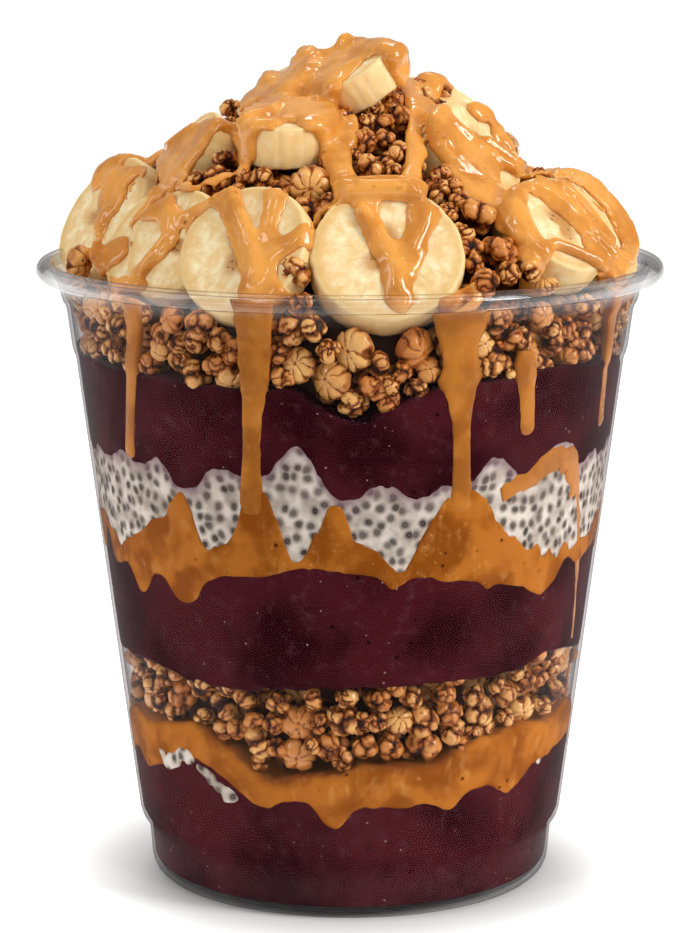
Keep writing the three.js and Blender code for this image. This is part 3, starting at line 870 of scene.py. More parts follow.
@dataclass(frozen=True)
class Cup:
    """The clear cup with its rolled lip.

    Attributes:
        outside: Radius and height up the outer wall, from the middle of the foot.
        lip: The same round the rolled lip.
        inside: The same down the inner wall, to the middle of the floor.
        sides: How many steps go once round.
    """

    outside: Table = (
        (0, 1.6), (16, 1.6), (31, 1.6), (31.8, 1.2), (32.6, 0), (34, 0), (35.4, 0), (36.6, 0.35),
        (37.4, 1.1), (37.9, 2.2), (38.1, 3.4), (38.3, 6), (38.55, 8.6), (38.8, 9.6), (39.9, 11.2),
        (40.3, 12.4), (40.9, 17), (43.2, 35), (46.1, 58), (48.9, 80), (51.35, 99.4), (51.75, 100.2),
        (52.0, 101.2), (52.5, 104.8), (52.85, 107.7), (53.1, 108.9), (53.7, 109.9), (54.0, 111),
        (54.3, 112.4), (54.8, 113.6), (55.35, 114.3), (55.66, 114.9),
    )
    lip: Table = (
        (55.72, 115.5), (56.0, 116.15), (56.75, 116.5), (57.5, 116.2), (57.8, 115.45), (57.6, 114.8),
        (57.25, 114.4), (57.3, 114.05), (57.65, 113.9), (58.05, 114.25), (58.4, 114.9), (58.5, 115.6),
        (58.25, 116.4), (57.6, 117.0), (56.75, 117.2), (55.85, 117.0), (55.25, 116.4), (55.0, 115.6),
    )
    inside: Table = (
        (54.75, 114.7), (54.2, 113.9), (53.75, 112.9), (53.4, 111.2), (53.0, 110.2), (52.45, 109.2),
        (52.15, 107.8), (51.8, 104.8), (51.35, 101.5), (51.1, 100.4), (50.65, 99.5), (48.2, 80),
        (45.4, 58), (42.5, 35), (40.2, 17), (39.6, 12.5), (39.2, 11.5), (38.2, 10.0), (37.85, 8.7),
        (37.6, 6), (37.4, 3.6), (37.1, 2.5), (36.5, 1.5), (35.3, 0.85), (34, 0.7), (32.9, 0.8),
        (32.2, 1.9), (31.3, 2.4), (16, 2.4), (0, 2.4),
    )
    sides: int = 256

    def wall(self, height: Array) -> Array:
        """Radius of the inner wall at some heights."""
        line = [(z, r) for r, z in self.inside if r > 36.4][::-1]
        return np.interp(height, *zip(*line))

    def make(self) -> None:
        """Turns the profile round the axis, and dresses the cup."""
        line = self.outside[1:] + self.lip + self.inside[:-1]
        angles = np.linspace(0, 360, self.sides, endpoint=False)
        rows = [polar(r, angles, z) for r, z in line]
        points = np.concatenate([*rows, [[0, 0, self.outside[0][1]], [0, 0, self.inside[-1][1]]]])
        cup = Form(points, capped(len(line), self.sides)).make("clear_cup", turned_out=True)
        dress(cup, ClearPlastic().material(), ["cup"])


# ---- the bands of filling


@dataclass(frozen=True)
class Edge:
    """The line on the wall where two bands meet.

    Attributes:
        front: Angle and height of each of its turns at the front, in a row.
        level: Its usual height behind.
        swing: How far it strays from that.
        pitch: Angle from turn to turn behind.
        seed: Which stray line it is.
        ragged: How far its small nicks go.
    """

    front: tuple[float, ...]
    level: float
    swing: float
    pitch: float
    seed: int
    ragged: float = 0.35

    def heights(self, angles: Array) -> Array:
        """Its height at each angle.

        Args:
            angles: Evenly spaced angles, once round from -180.

        Returns:
            The heights.
        """
        source = np.random.default_rng(self.seed)
        count = int(230 / self.pitch)
        turns = np.linspace(64, 296, count) + source.uniform(-0.3, 0.3, count) * self.pitch
        stray = self.level + self.swing * source.uniform(-1, 1, count)
        behind = np.interp(angles % 360, turns, stray)
        ahead = np.interp(angles, self.front[::2], self.front[1::2])
        share = ease(np.abs(angles), 70, 80)
        line = ahead * (1 - share) + behind * share
        step = angles[1] - angles[0]
        reach = np.arange(-6, 7) * step
        kernel = np.exp(-((reach / 1.5) ** 2))
        padded = np.concatenate([line[-6:], line, line[:6]])
        soft = np.convolve(padded, kernel / kernel.sum(), "valid")
        spots = polar(50.0, angles, soft)
        return soft + self.ragged * (Grain(2.6, self.seed).at(spots) + 0.6 * Grain(1.1, self.seed).at(spots))

    def at(self, angles: Array) -> Array:
        """Its height at any angles."""
        line = np.linspace(-180, 180, 480, endpoint=False)
        return np.interp(angles, line, self.heights(line))


ACAI_BASE_TOP = Edge((
    -73, 26.2, -66, 23, -56, 25.3, -41, 28.7, -36, 27, -30, 24.2, -25, 21.6, -21, 20.8, -17, 22.8, -10, 22.8,
    -8, 19.9, -5, 18.2, -3, 17.9, -1, 19.4, 1, 21.6, 5, 22.3, 13, 21.7, 21, 22.2, 25, 20.2, 28, 20.5, 30, 23.7,
    34, 24.1, 38, 23.8, 42, 22.1, 45, 21.2, 50, 23.5, 53, 25.8, 61, 26.4, 72, 27.3,
), 24, 4.0, 12, 11)
BUTTER_LOW_TOP = Edge((
    -74, 34.8, -61, 33.2, -43, 35.7, -38, 34.8, -32, 32.6, -27, 29.3, -22, 26.3, -16, 26.7, -12, 27.9, -1, 28.4,
    2, 30.1, 12, 29.8, 15, 29.7, 19, 29.4, 23, 30.3, 34, 33.8, 40, 33.6, 47, 35.2, 58, 33.3, 67, 35.1, 77, 38.1,
), 33, 3.4, 17, 12)
ACAI_MIDDLE_LOW = Edge((
    -67, 44.8, -57, 45.5, -43, 44.1, -30, 43.4, -12, 44.7, 7, 45.3, 24, 45.5, 38, 45.2, 48, 46.1, 52, 47.3, 62, 46.7,
    70, 46.1,
), 45, 1.3, 14, 13)
ACAI_MIDDLE_TOP = Edge((
    -72, 70.8, -70, 61.7, -63, 63.1, -59, 62.6, -58, 59.2, -55, 58.2, -52.5, 60, -51, 62, -50, 63.3, -46, 63.1,
    -44, 59.8, -42, 58.3, -38, 58.7, -35, 61.5, -34, 63.1, -29, 64.6, -20, 64.9, -12, 66.8, -3, 67, 7, 65.5, 9, 62.4,
    13, 65.7, 22, 64.2, 31, 63.3, 32, 60.6, 33, 63.1, 40, 62, 44, 60.8, 48, 58.9, 51, 59, 56, 62.9, 57, 65.4,
    64, 62.9, 72, 64,
), 62.5, 3.6, 7, 14)
CHIA_LOW = Edge((
    -72, 70.8, -63, 66.7, -58, 69.4, -51, 72.5, -47, 74.4, -44, 74.1, -41, 78.5, -38, 80.2, -36, 78, -34, 69.1,
    -31, 69.8, -25, 73.1, -23, 80, -20, 82, -17, 80.8, -15, 74.4, -12, 67.8, -8, 71.9, -4, 80.6, -1.5, 80, 0, 73.5,
    3, 71.6, 6, 70.6, 9, 67.8, 11, 66.6, 13, 68.4, 15, 72.6, 17, 75.8, 19, 79, 23, 82, 26, 81.1, 29, 80.2, 33, 75.2,
    37, 71.4, 39, 72.2, 41, 69.4, 44, 68.6, 46, 70.4, 48, 66.2, 50, 68.4, 53, 64.2, 56, 69.6, 60, 66.4, 64, 68.2,
    73, 66.8,
), 72.5, 5.6, 8, 15, 0.9)
ACAI_UPPER_LOW = Edge((
    -71, 84, -65, 81.9, -57, 84.9, -52, 82.6, -49, 83, -45, 85, -42, 83.8, -41, 80.8, -37, 80.1, -33, 80.5, -32, 83.7,
    -25, 84.6, -23, 83.4, -17, 82.7, -15, 86.9, -12, 88, -11, 90.5, -8, 88.2, -7, 84.4, -5, 82, -3, 79.9, 2, 79.6,
    3, 80.9, 4, 82.4, 10, 82.3, 11, 80.4, 15, 79.5, 18, 80.8, 20, 81.9, 26, 81.1, 28, 83.2, 30, 86, 35, 85.6,
    37, 82.4, 39, 80.7, 43, 81.4, 44, 84.6, 47, 86.5, 55, 86.2, 57, 82.7, 60, 81.6, 66, 84.2, 71, 81.9, 80, 81.9,
), 83.5, 3.0, 9, 16, 0.7)
ACAI_UPPER_TOP = Edge((
    -75, 101, -50, 100.4, -35, 99.8, -22, 99.4, -12, 99.8, -6, 96.4, -4, 95.5, -1, 93.7, 1, 93.4, 4, 93.9, 6, 95.3,
    10, 96.7, 13, 98.4, 16, 99.3, 20, 100.3, 33, 100.7, 46, 101.7, 57, 100.9, 75, 101.5,
), 100, 1.6, 13, 17)
CUP_FLOOR = Edge((-180, 2.3, 180, 2.3), 2.3, 0, 60, 1, 0)


@dataclass(frozen=True)
class Band:
    """One band of filling, which runs through the cup.

    Attributes:
        node: The node that it stands for.
        low: Its lower line on the wall.
        high: Its upper line.
        below: How far it runs on under the band below.
        above: How far it runs on behind the band above.
        reach: How far it presses into the wall's inner face.
        slot: The record's slot of its finish.
        haze: How far juice has crept down into it from above.
        columns: How many points go once round.
        inner: How many rows lie between its two edges.
    """

    node: str
    low: Edge
    high: Edge
    below: float
    above: float
    reach: float
    slot: str
    haze: float = 0
    columns: int = 540
    inner: int = 11

    def form(self, cup: Cup) -> Form:
        """Its closed shape.

        Args:
            cup: The cup that it fills.

        Returns:
            The shape, with the juice's haze as a mark.
        """
        angles = np.linspace(-180, 180, self.columns, endpoint=False)
        low = self.low.heights(angles) - self.below
        high = self.high.heights(angles) + self.above
        gap = np.maximum(high - low, 1.2)
        ends = np.minimum(1, gap / 5.5)
        from_low = [0, 0.15, 0.4, 0.9, 1.8]
        heights = [low + step * ends for step in from_low]
        heights += [low + 1.8 * ends + (gap - 3.6 * ends) * share for share in np.linspace(0.08, 0.92, self.inner)]
        heights += [low + gap - step * ends for step in from_low[::-1]]
        rows, marks = [], []
        for height in heights:
            away = np.minimum(height - low, low + gap - height)
            lip = self.reach - (self.reach + 0.3) * np.exp(-((away / 0.28) ** 1.4))
            rough = Grain(3.1, 5).at(polar(45.0, angles, height)) * 0.035
            rows.append(polar(cup.wall(height) + lip + rough, angles, height))
            marks.append(np.exp(-np.maximum(self.high.heights(angles) - height, 0) / max(self.haze, 0.01)))
        for share in (0.97, 0.85, 0.4):
            rows.append(polar(cup.wall(high) * share, angles, high * share + high.mean() * (1 - share)))
            rows.insert(0, polar(cup.wall(low) * share, angles, low * share + low.mean() * (1 - share)))
            marks.append(np.zeros(self.columns))
            marks.insert(0, np.zeros(self.columns))
        points = np.concatenate([*rows, [[0, 0, low.mean()], [0, 0, high.mean()]]])
        return Form(points, capped(len(rows), self.columns), {"haze": np.concatenate([*marks, [0, 0]])})

    def make(self, cup: Cup, finish: Finish) -> None:
        """Builds and dresses the band."""
        dress(self.form(cup).make(self.node + "_band"), finish, [self.node])


@dataclass(frozen=True)
class Filling:
    """The bands between the cup's floor and the heap.

    Attributes:
        bands: From the bottom up, without the granola.
    """

    bands: tuple[Band, ...] = (
        Band("acai_base", CUP_FLOOR, ACAI_BASE_TOP, 0, 2.4, 0.20, "acai", inner=24),
        Band("peanut_butter_lower", ACAI_BASE_TOP, BUTTER_LOW_TOP, 0, 0, 0.34, "peanut"),
        Band("acai_middle", ACAI_MIDDLE_LOW, ACAI_MIDDLE_TOP, 0, 2.4, 0.10, "acai"),
        Band("peanut_butter_upper", ACAI_MIDDLE_TOP, CHIA_LOW, 0, 0, 0.34, "peanut"),
        Band("chia_pudding", CHIA_LOW, ACAI_UPPER_LOW, 2.2, 2.0, 0.13, "chia", 1.3),
        Band("acai_upper", ACAI_UPPER_LOW, ACAI_UPPER_TOP, 0, 0, 0.22, "acai"),
    )

    def make(self, cup: Cup) -> None:
        """Builds and dresses every band.

        Args:
            cup: The cup that they fill.
        """
        finishes = {
            "acai": AcaiPuree().material(),
            "chia": ChiaPudding().material(),
            # Painted shade and highlights: this nut butter is darker than the poured one, for the shade inside the
            # cup, and with no gloss of its own its pale streaks and flecks paint highlights.
            "peanut": NutButter("peanut_butter_band", linear(138, 73, 18), linear(182, 108, 36),
                                linear(222, 156, 84), 1.0, 0.24, 0.0).material(),
        }
        for band in self.bands:
            band.make(cup, finishes[band.slot])


# ---- sauce on the wall


@dataclass(frozen=True)
class Run:
    """A run of sauce down the inside of the wall.

    Attributes:
        name: The piece's name.
        line: Angle, height and half width along it, point after point from the top.
        node: The node that it stands for, if any.
        reach: How far its middle presses into the wall.
        depth: How thick it is towards the axis.
        ragged: How uneven its sides are, as a share of its width.
    """

    name: str
    line: tuple[float, ...]
    node: str = ""
    reach: float = 0.52
    depth: float = 1.6
    ragged: float = 0.08

    def form(self, cup: Cup) -> Form:
        """Its closed shape.

        Args:
            cup: The cup whose wall it clings to.

        Returns:
            Rings along it, closed at both ends.
        """
        angle, height, half = np.array(self.line, float).reshape(-1, 3).T
        radius = cup.wall(height)
        along = np.concatenate([[0], np.cumsum(np.hypot(
            np.diff(height), np.radians(np.diff(angle)) * radius[:-1]))])
        end = along[-1]
        steps = np.unique(np.concatenate([np.arange(0, end - 3, 0.5), end - 3 * np.linspace(0, 1, 12) ** 1.6]))
        kernel = np.exp(-(np.linspace(-2, 2, 9) ** 2))
        kernel /= kernel.sum()
        fine = np.linspace(0, end, 200)
        soft = [np.convolve(np.pad(np.interp(fine, along, v), 4, "edge"), kernel, "valid")
                for v in (angle, height, half)]
        turn, rise, wide = (np.interp(steps, fine, v) for v in soft)
        tail = np.clip((end - steps) / max(half[-1], 0.5), 0, 1)
        wide = np.maximum(wide * np.sqrt(1 - (1 - tail) ** 2), 0.03)
        thick = np.minimum(1, wide / 1.6)
        way = unit(np.stack([np.radians(np.gradient(turn)) * 50, np.gradient(rise)], -1))
        rows = []
        across = np.linspace(-1, 1, 15)
        dome = np.sqrt(np.maximum(1 - across**2, 0))
        left, right = (wide * (1 + self.ragged * Grain(1.3, n).at(polar(48.0, turn, rise))) for n in (61, 62))
        for a, z, w, v, t, (east, up) in zip(turn, rise, left, right, thick, way):
            w = np.where(across < 0, w, v)
            level = z + across * w * east
            r = cup.wall(level)
            spread = a - np.degrees(across * w * up / r)
            outer = r - 0.12 + (self.reach + 0.12) * t * dome**0.8
            inner = r - 0.12 - self.depth * t * dome
            rows.append(np.concatenate([polar(outer, spread, level), polar(inner, spread, level)[-2:0:-1]]))
        middles = [rows[0].mean(0), rows[-1].mean(0)]
        return Form(np.concatenate([*rows, middles]), capped(len(rows), len(rows[0])))

    def make(self, cup: Cup, finish: Finish, slot: str) -> None:
        """Builds and dresses the run."""
        piece = self.form(cup).make(self.name, turned_out=True)
        dress(piece, finish, [self.node] if self.node else [])


@dataclass(frozen=True)
class WallSauce:
    """All the runs and smears on the inside of the wall."""

    runs: tuple[Run, ...] = (
        Run("butter_run_left", (-45.5, 114, 2.2, -46.5, 110, 1.9, -48, 105, 1.6, -50, 99, 1.7, -52, 92, 1.5,
            -53.4, 87, 1.6, -54, 84, 1.8), "peanut_butter_run_left"),
        Run("butter_run_front_left", (-18, 115.6, 3.9, -18.4, 110, 3.2, -18.8, 104, 3.0, -19, 101, 2.7,
            -19.2, 98.5, 2.5, -19.8, 95, 2.1, -20.2, 90, 1.9, -20.6, 85, 2.0, -20.9, 81, 2.4,
            -21, 76.6, 2.5), "peanut_butter_run_front_left"),
        Run("butter_run_front_right", (21.2, 113.5, 5.6, 21.3, 110.5, 4.6, 21.4, 107, 3.5, 21.8, 104, 3.4,
            22, 101.5, 4.2, 22.3, 98.5, 3.1, 22.8, 94, 2.0, 23.3, 88, 1.8, 23.7, 83, 2.0,
            24, 77, 2.4), "peanut_butter_run_front_right"),
        Run("butter_run_right", (36.4, 105.6, 1.4, 36.6, 103.8, 2.4, 37.2, 101, 2.5, 38, 97.5, 1.9, 38.7, 94, 1.8,
            39, 89.8, 2.0), "peanut_butter_run_right"),
        Run("butter_run_far_right", (63.5, 114.2, 2.6, 64.4, 110, 2.0, 65, 106, 1.6, 65.8, 100, 1.3, 66.8, 93, 1.4,
            67.5, 88, 1.7), "peanut_butter_run_far_right"),
        Run("butter_run_back_right", (128, 114, 3.4, 127.4, 107, 2.7, 126.4, 99, 2.2, 125, 89, 1.6,
            124, 80, 2.0), "peanut_butter_run_back_right"),
        Run("butter_run_back_left", (204, 114, 3.6, 204.8, 107, 2.9, 206, 98, 2.4, 207.2, 87, 1.8,
            208, 76, 2.1), "peanut_butter_run_back_left"),
        Run("butter_smear_low", (56.8, 82.4, 1.2, 58.4, 79.4, 1.3, 60.5, 75, 0.8, 62.2, 71.4, 1.0, 65.0, 63.3, 1.2,
            66.8, 57, 0.7, 67.9, 53.3, 0.8, 68.9, 47.4, 0.9), reach=0.42, depth=0.9, ragged=0.4),
        Run("butter_smear_high", (33.5, 79.6, 1.4, 37, 80.6, 1.9, 41, 81.6, 2.1, 45.5, 83.6, 2.5, 50.4, 84.6, 3.1,
            54.5, 83.2, 2.8, 56.8, 79.5, 1.9, 57.4, 76, 1.3), reach=0.42, depth=0.9, ragged=0.4),
    )
    smears: tuple[Run, ...] = (
        Run("chia_smear_left", (-57.5, 28.4, 0.9, -54, 26.6, 1.9, -51, 26.9, 2.3, -48, 28.6, 2.0, -45, 29.2, 1.7,
            -42.6, 27.8, 0.9), reach=0.60, depth=0.8, ragged=0.6),
        Run("chia_smear_middle", (-42, 27.6, 0.8, -39, 26.2, 1.4, -35.5, 24.2, 1.6, -32, 22.9, 1.3,
            -29, 22.3, 0.7), reach=0.60, depth=0.8, ragged=0.6),
        Run("chia_smear_right", (54.5, 27.2, 0.5, 57, 26.2, 1.0, 59.5, 25.4, 0.6), reach=0.60, depth=0.8),
    )

    def make(self, cup: Cup, butter: Finish, chia: Finish) -> None:
        """Builds and dresses every run and smear.

        Args:
            cup: The cup whose wall they cling to.
            butter: The nut butter's material, a darker copy that paints the shade inside the cup.
            chia: The pudding's material.
        """
        for run in self.runs:
            run.make(cup, butter, "peanut")
        for smear in self.smears:
            smear.make(cup, chia, "chia")


# ---- banana slices


@dataclass(frozen=True)
class Slice:
    """One slice of banana.

    Attributes:
        number: Its number, which its node has too.
        centre: The middle of its upper face.
        turn: Which way that face looks.
        lift: How far that face looks up.
        radius: Its radius.
        thick: Its thickness.
    """

    number: int
    centre: Point
    turn: float
    lift: float
    radius: float
    thick: float

    def axes(self) -> tuple[Array, Array, Array]:
        """Its own directions: along the face, up the face and out of it."""
        t, e = math.radians(self.turn), math.radians(self.lift)
        out = np.array([math.sin(t) * math.cos(e), -math.cos(t) * math.cos(e), math.sin(e)])
        right = unit(np.cross([0.0, 0.0, 1.0], out))
        return right, np.cross(out, right), out

    def local(self, points: Array) -> tuple[Array, Array]:
        """Where points are from its face.

        Args:
            points: Rows of three numbers.

        Returns:
            Their distances from its axis, and out of its face.
        """
        right, up, out = self.axes()
        away = points - np.array(self.centre)
        return np.hypot(away @ right, away @ up), away @ out

    def form(self) -> tuple[Form, Form]:
        """The slice and its seeds.

        Returns:
            The two shapes.
        """
        source = np.random.default_rng(self.number)
        columns, flutes = 132, int(source.integers(17, 23))
        turn = np.linspace(0, 2 * math.pi, columns, endpoint=False)
        phase = source.uniform(0, 6.28, 5)
        outline = 1 + 0.018 * np.cos(2 * turn + phase[0]) + 0.014 * np.cos(3 * turn + phase[1])
        wave = flutes * turn / 2 + 1.5 * np.sin(2 * turn + phase[2]) + 1.2 * np.sin(3 * turn + phase[3])
        rib = (1 - np.abs(np.sin(wave)) ** 0.6) ** 1.3
        uneven = 0.62 + 0.62 * np.sin(3 * turn + phase[1]) * np.sin(5 * turn + phase[0])
        lobes = 0.30 * (1 + 0.42 * np.cos(3 * turn + phase[4]))
        rows, marks = [], {"across": [], "lobe": [], "rib": [], "east": [], "north": []}

        def add(share: float, drop: float, across: float, face: bool) -> None:
            """Adds a ring of points at a share of the radius."""
            flute = 0.30 * rib * uneven * ease(np.array(share), 0.82, 1.0) * (0.8 if face else 1.0)
            ring = self.radius * outline * share - flute
            core = ease(share / lobes, 1.25, 0.55) if face else np.zeros(columns)
            level = -drop - 0.42 * core
            rows.append(np.stack([ring * np.cos(turn), ring * np.sin(turn), np.broadcast_to(level, columns)], -1))
            for key, value in (("across", across), ("lobe", core), ("rib", rib),
                               ("east", np.cos(turn)), ("north", np.sin(turn))):
                marks[key].append(np.broadcast_to(value, columns))

        for share in np.linspace(0.05, 0.93, 18):
            add(share, 0.0, share, True)
        for share, drop in ((0.96, 0.04), (0.98, 0.14), (0.993, 0.34)):
            add(share, drop, share, True)
        for step in np.linspace(0, 1, 8):
            bulge = 1 + 0.012 * math.sin(math.pi * step)
            add(bulge, 0.6 + (self.thick - 1.2) * step, 1.2, False)
        for share, rise in ((0.985, 0.25), (0.96, 0.06), (0.8, 0), (0.5, 0), (0.2, 0)):
            add(share, self.thick - rise, share, False)
        flat = np.concatenate([*rows, [[0, 0, rows[0][0, 2]], [0, 0, -self.thick]]])
        kept = {key: np.concatenate([*values, [values[0][0], values[-1][0]]]) for key, values in marks.items()}
        grain = Grain(1.1, self.number).at(flat) * 0.07 + Grain(3.4, self.number).at(flat) * 0.12
        flat[:, 2] += grain * (kept["across"] < 1.1)
        flat[:, :2] *= (1 + grain / self.radius * (kept["across"] >= 1.1))[:, None]
        right, up, out = self.axes()
        frame_of = np.stack([right, up, out])
        slab = Form(flat @ frame_of + np.array(self.centre), capped(len(rows), columns), kept)
        return slab, self._seeds(phase[4], source, frame_of)

    def _seeds(self, phase: float, source: np.random.Generator, frame_of: Array) -> Form:
        """The small seeds along the core's lobes."""
        points, faces = ball(2)
        made, solid = [], []
        for lobe in range(3):
            axis = (2 * math.pi * lobe - phase) / 3
            for share, side in itertools.product((0.14, 0.22, 0.30), (-1, 1)):
                if source.random() < 0.5:
                    continue
                turn = axis + side * (0.05 / share) * source.uniform(0.6, 1.4)
                reach = self.radius * share * source.uniform(0.9, 1.1)
                size = np.array([0.30, 0.15, 0.14]) * source.uniform(0.6, 1.1)
                body = points * size
                c, s = math.cos(turn), math.sin(turn)
                body = body @ np.array([[c, s, 0], [-s, c, 0], [0, 0, 1]])
                body += [reach * c, reach * s, -0.38]
                solid.append(faces + len(made) * len(points))
                made.append(body)
        flat = np.concatenate(made)
        return Form(flat @ frame_of + np.array(self.centre), [np.concatenate(solid)])


@dataclass(frozen=True)
class Slices:
    """All the slices of banana, the ones behind as like ones."""

    every: tuple[Slice, ...] = (
        Slice(1, (-13.8, 3, 148.7), -69, 54, 9, 6.5),
        Slice(2, (0.2, -5, 153.4), -63, 55, 8.4, 6.5),
        Slice(3, (-29.8, -6, 138.1), -70, 39, 8.4, 6),
        Slice(4, (-11.2, -17, 144.8), -6, 77, 8.6, 7.7),
        Slice(5, (23.4, -13, 138.9), 51, 38, 10.4, 7),
        Slice(6, (45.2, -9, 124.2), 62, 36, 11.6, 6),
        Slice(7, (38.2, -27, 126.5), 38, 42, 10.6, 8),
        Slice(8, (-47.0, 8.5, 124), -58, 32, 12.8, 5.6),
        Slice(9, (-37, -13, 121.6), -50, 33, 11.2, 5.2),
        Slice(10, (-31.8, -27.6, 123), -44, 31, 10.8, 5.2),
        Slice(11, (-18.8, -41, 123.2), -27, 32, 12.4, 5.6),
        Slice(12, (6.5, -44.2, 123), 4, 32, 13.2, 7),
        Slice(13, (40.5, 15.5, 123.6), 110, 36, 12.4, 6.5),
        Slice(14, (23.5, 36.5, 123.4), 147, 35, 12.6, 6.5),
        Slice(15, (-4, 43.6, 123.4), 185, 35, 12.8, 6.5),
        Slice(16, (-30, 31.5, 123), 223, 35, 12.4, 6.5),
        Slice(17, (18.5, 17.5, 143), 133, 46, 10.4, 7),
        Slice(18, (-15.5, 23.5, 141), 212, 48, 10.2, 7),
    )

    def make(self) -> list[Form]:
        """Builds and dresses the slices and their seeds.

        Returns:
            The slices' shapes, for what is poured over them.
        """
        flesh = BananaFlesh().material()
        forms, seeds = [], []
        for piece in self.every:
            slab, dots = piece.form()
            forms.append(slab)
            seeds.append(dots)
            made = slab.make(f"banana_{piece.number:02d}", turned_out=True)
            dress(made, flesh, [f"banana_slice_{piece.number:02d}"])
        spots = seeds[0].joined(seeds[1:]).make("banana_seeds")
        dress(spots, SeedSkin().material(), [])
        return forms

    def holds(self, points: Array, size: Array) -> Array:
        """Which round things would cut into a slice.

        Args:
            points: Their middles.
            size: Their radii.

        Returns:
            True for each one that would.
        """
        inside = np.zeros(len(points), bool)
        for piece in self.every:
            aside, out = piece.local(points)
            inside |= ((aside < piece.radius + 0.7 * size) & (out < 16) & (out > -piece.thick - 0.45 * size))
        return inside


# ---- granola


class Look(Enum):
    """The kinds of granola cluster."""

    WALNUT = "walnut"
    FLOWER = "flower"
    BEAN = "bean"


@dataclass(frozen=True)
class Cluster:
    """One shape of granola cluster, round its middle and about 1 in radius.

    Attributes:
        look: Its kind.
        seed: Which of that kind it is.
    """

    look: Look
    seed: int

    def swell(self, ways: Array) -> tuple[Array, Array]:
        """How far it reaches in some directions.

        Args:
            ways: Directions of length 1.

        Returns:
            The distances, and how deep in a fold each point is, from 0 to 1, which sets the painted shade there.
        """
        source = np.random.default_rng(self.seed)
        if self.look is Look.FLOWER:
            return self._flower(ways, source)
        many = 6 if self.look is Look.WALNUT else 3
        heads = unit(source.normal(size=(many, 3)))
        for _ in range(8):
            push = heads[:, None] - heads[None]
            far = np.linalg.norm(push, axis=-1, keepdims=True) + 1e-6
            heads = unit(heads + 0.05 * (push / far**3).sum(1))
        bent = [Grain(0.62, self.seed + n).at(ways) for n in (1, 2, 3)]
        bent = unit(ways + 0.25 * np.stack(bent, -1))
        reach = source.uniform(0.26, 0.46, many)
        size = source.uniform(0.52, 0.66, many)
        dot = bent @ heads.T * reach
        inner = size**2 - reach**2 + dot**2
        hits = np.where(inner > 0, dot + np.sqrt(np.maximum(inner, 0)), 0.3)
        order = np.sort(hits, axis=1)
        top = np.maximum(order[:, -1], 0.6)
        gap = top - np.maximum(order[:, -2], 0.6)
        crease, hollow = np.exp(-gap / 0.045), np.exp(-gap / 0.15)
        wrinkle = Grain(0.24, self.seed).at(ways * 1.3) + 0.5 * Grain(0.11, self.seed).at(ways * 1.3)
        winding = Grain(0.6, self.seed + 7).at(bent) + 0.35 * Grain(0.27, self.seed + 8).at(bent)
        gully = np.exp(-((winding / 0.085) ** 2))
        # The mark for painted shade: low places, creases, hollows and gullies between the lobes.
        fold = np.clip((0.78 - top) / 0.2, 0, 1) + 0.4 * crease + 0.4 * hollow + 0.35 * gully
        fold += 0.35 * np.exp(-((winding / 0.24) ** 2))
        fold = np.clip(fold + 0.4 * np.maximum(-wrinkle - 0.15, 0), 0, 1)
        swell = top * (1 + 0.07 * wrinkle + 0.14 * np.minimum(np.abs(winding), 0.5))
        return swell - 0.11 * np.maximum(crease, gully), fold

    def _flower(self, ways: Array, source: np.random.Generator) -> tuple[Array, Array]:
        """A flat nugget whose lobes meet in the middle like petals."""
        lobes = int(source.integers(6, 9))
        bend = Grain(0.5, self.seed).at(ways)
        turn = np.arctan2(ways[:, 1], ways[:, 0]) + 0.38 * bend
        flat = np.hypot(ways[:, 0], ways[:, 1])
        base = 1 / np.sqrt(flat**2 + (ways[:, 2] / 0.7) ** 2)
        wave = lobes * turn / 2 + 0.7 * np.sin(2 * turn + source.uniform(0, 6)) + source.uniform(0, 3)
        petal = np.abs(np.sin(wave))
        short = 0.2 + 0.25 * np.abs(np.sin(lobes * turn / 4))
        groove = np.exp(-((petal / 0.24) ** 2)) * ease(flat, 0.06, 0.3) * (1 - 0.5 * short)
        side = ease(np.abs(ways[:, 2]), 0.55, 0.1)
        pit = np.exp(-((flat / 0.16) ** 2))
        wrinkle = Grain(0.26, self.seed).at(ways * 1.2)
        reach = base * (0.92 + 0.07 * petal * flat - 0.11 * groove - 0.12 * pit + 0.05 * wrinkle)
        # The mark for painted shade: the grooves, the middle pit and the nugget's sides.
        fold = 0.6 * groove + 0.7 * pit + 0.35 * side + 0.3 * np.maximum(-wrinkle - 0.2, 0)
        return reach, np.clip(fold, 0, 1)

    def model(self, share: float) -> Form:
        """Its shape with few or many faces.

        Args:
            share: How many of the finest faces are kept.

        Returns:
            The shape.
        """
        ways, faces = ball(5)
        reach, _ = self.swell(ways)
        rough = Form(ways * reach[:, None] / MM, [faces])
        thin = settled(rough, "cluster", [("DECIMATE", {"ratio": share})])
        mesh = thin.data
        points = np.zeros(len(mesh.vertices) * 3, np.float32)
        mesh.vertices.foreach_get("co", points)
        points = points.reshape(-1, 3).astype(float)
        corners = np.zeros(len(mesh.polygons) * 3, np.int32)
        mesh.polygons.foreach_get("vertices", corners)
        bpy.data.objects.remove(thin)
        bpy.data.meshes.remove(mesh)
        _, fold = self.swell(unit(points))
        return Form(points, [corners.reshape(-1, 3)], {"fold": fold})


def spun(source: np.random.Generator, count: int) -> Array:
    """Rotations with no preferred direction.

    Args:
        source: Where the random numbers come from.
        count: How many are wanted.

    Returns:
        A 3 by 3 matrix each.
    """
    q = unit(source.normal(size=(count, 4)))
    w, x, y, z = q.T
    rows = [1 - 2 * (y * y + z * z), 2 * (x * y - z * w), 2 * (x * z + y * w),
            2 * (x * y + z * w), 1 - 2 * (x * x + z * z), 2 * (y * z - x * w),
            2 * (x * z - y * w), 2 * (y * z + x * w), 1 - 2 * (x * x + y * y)]
    return np.stack(rows, -1).reshape(-1, 3, 3)


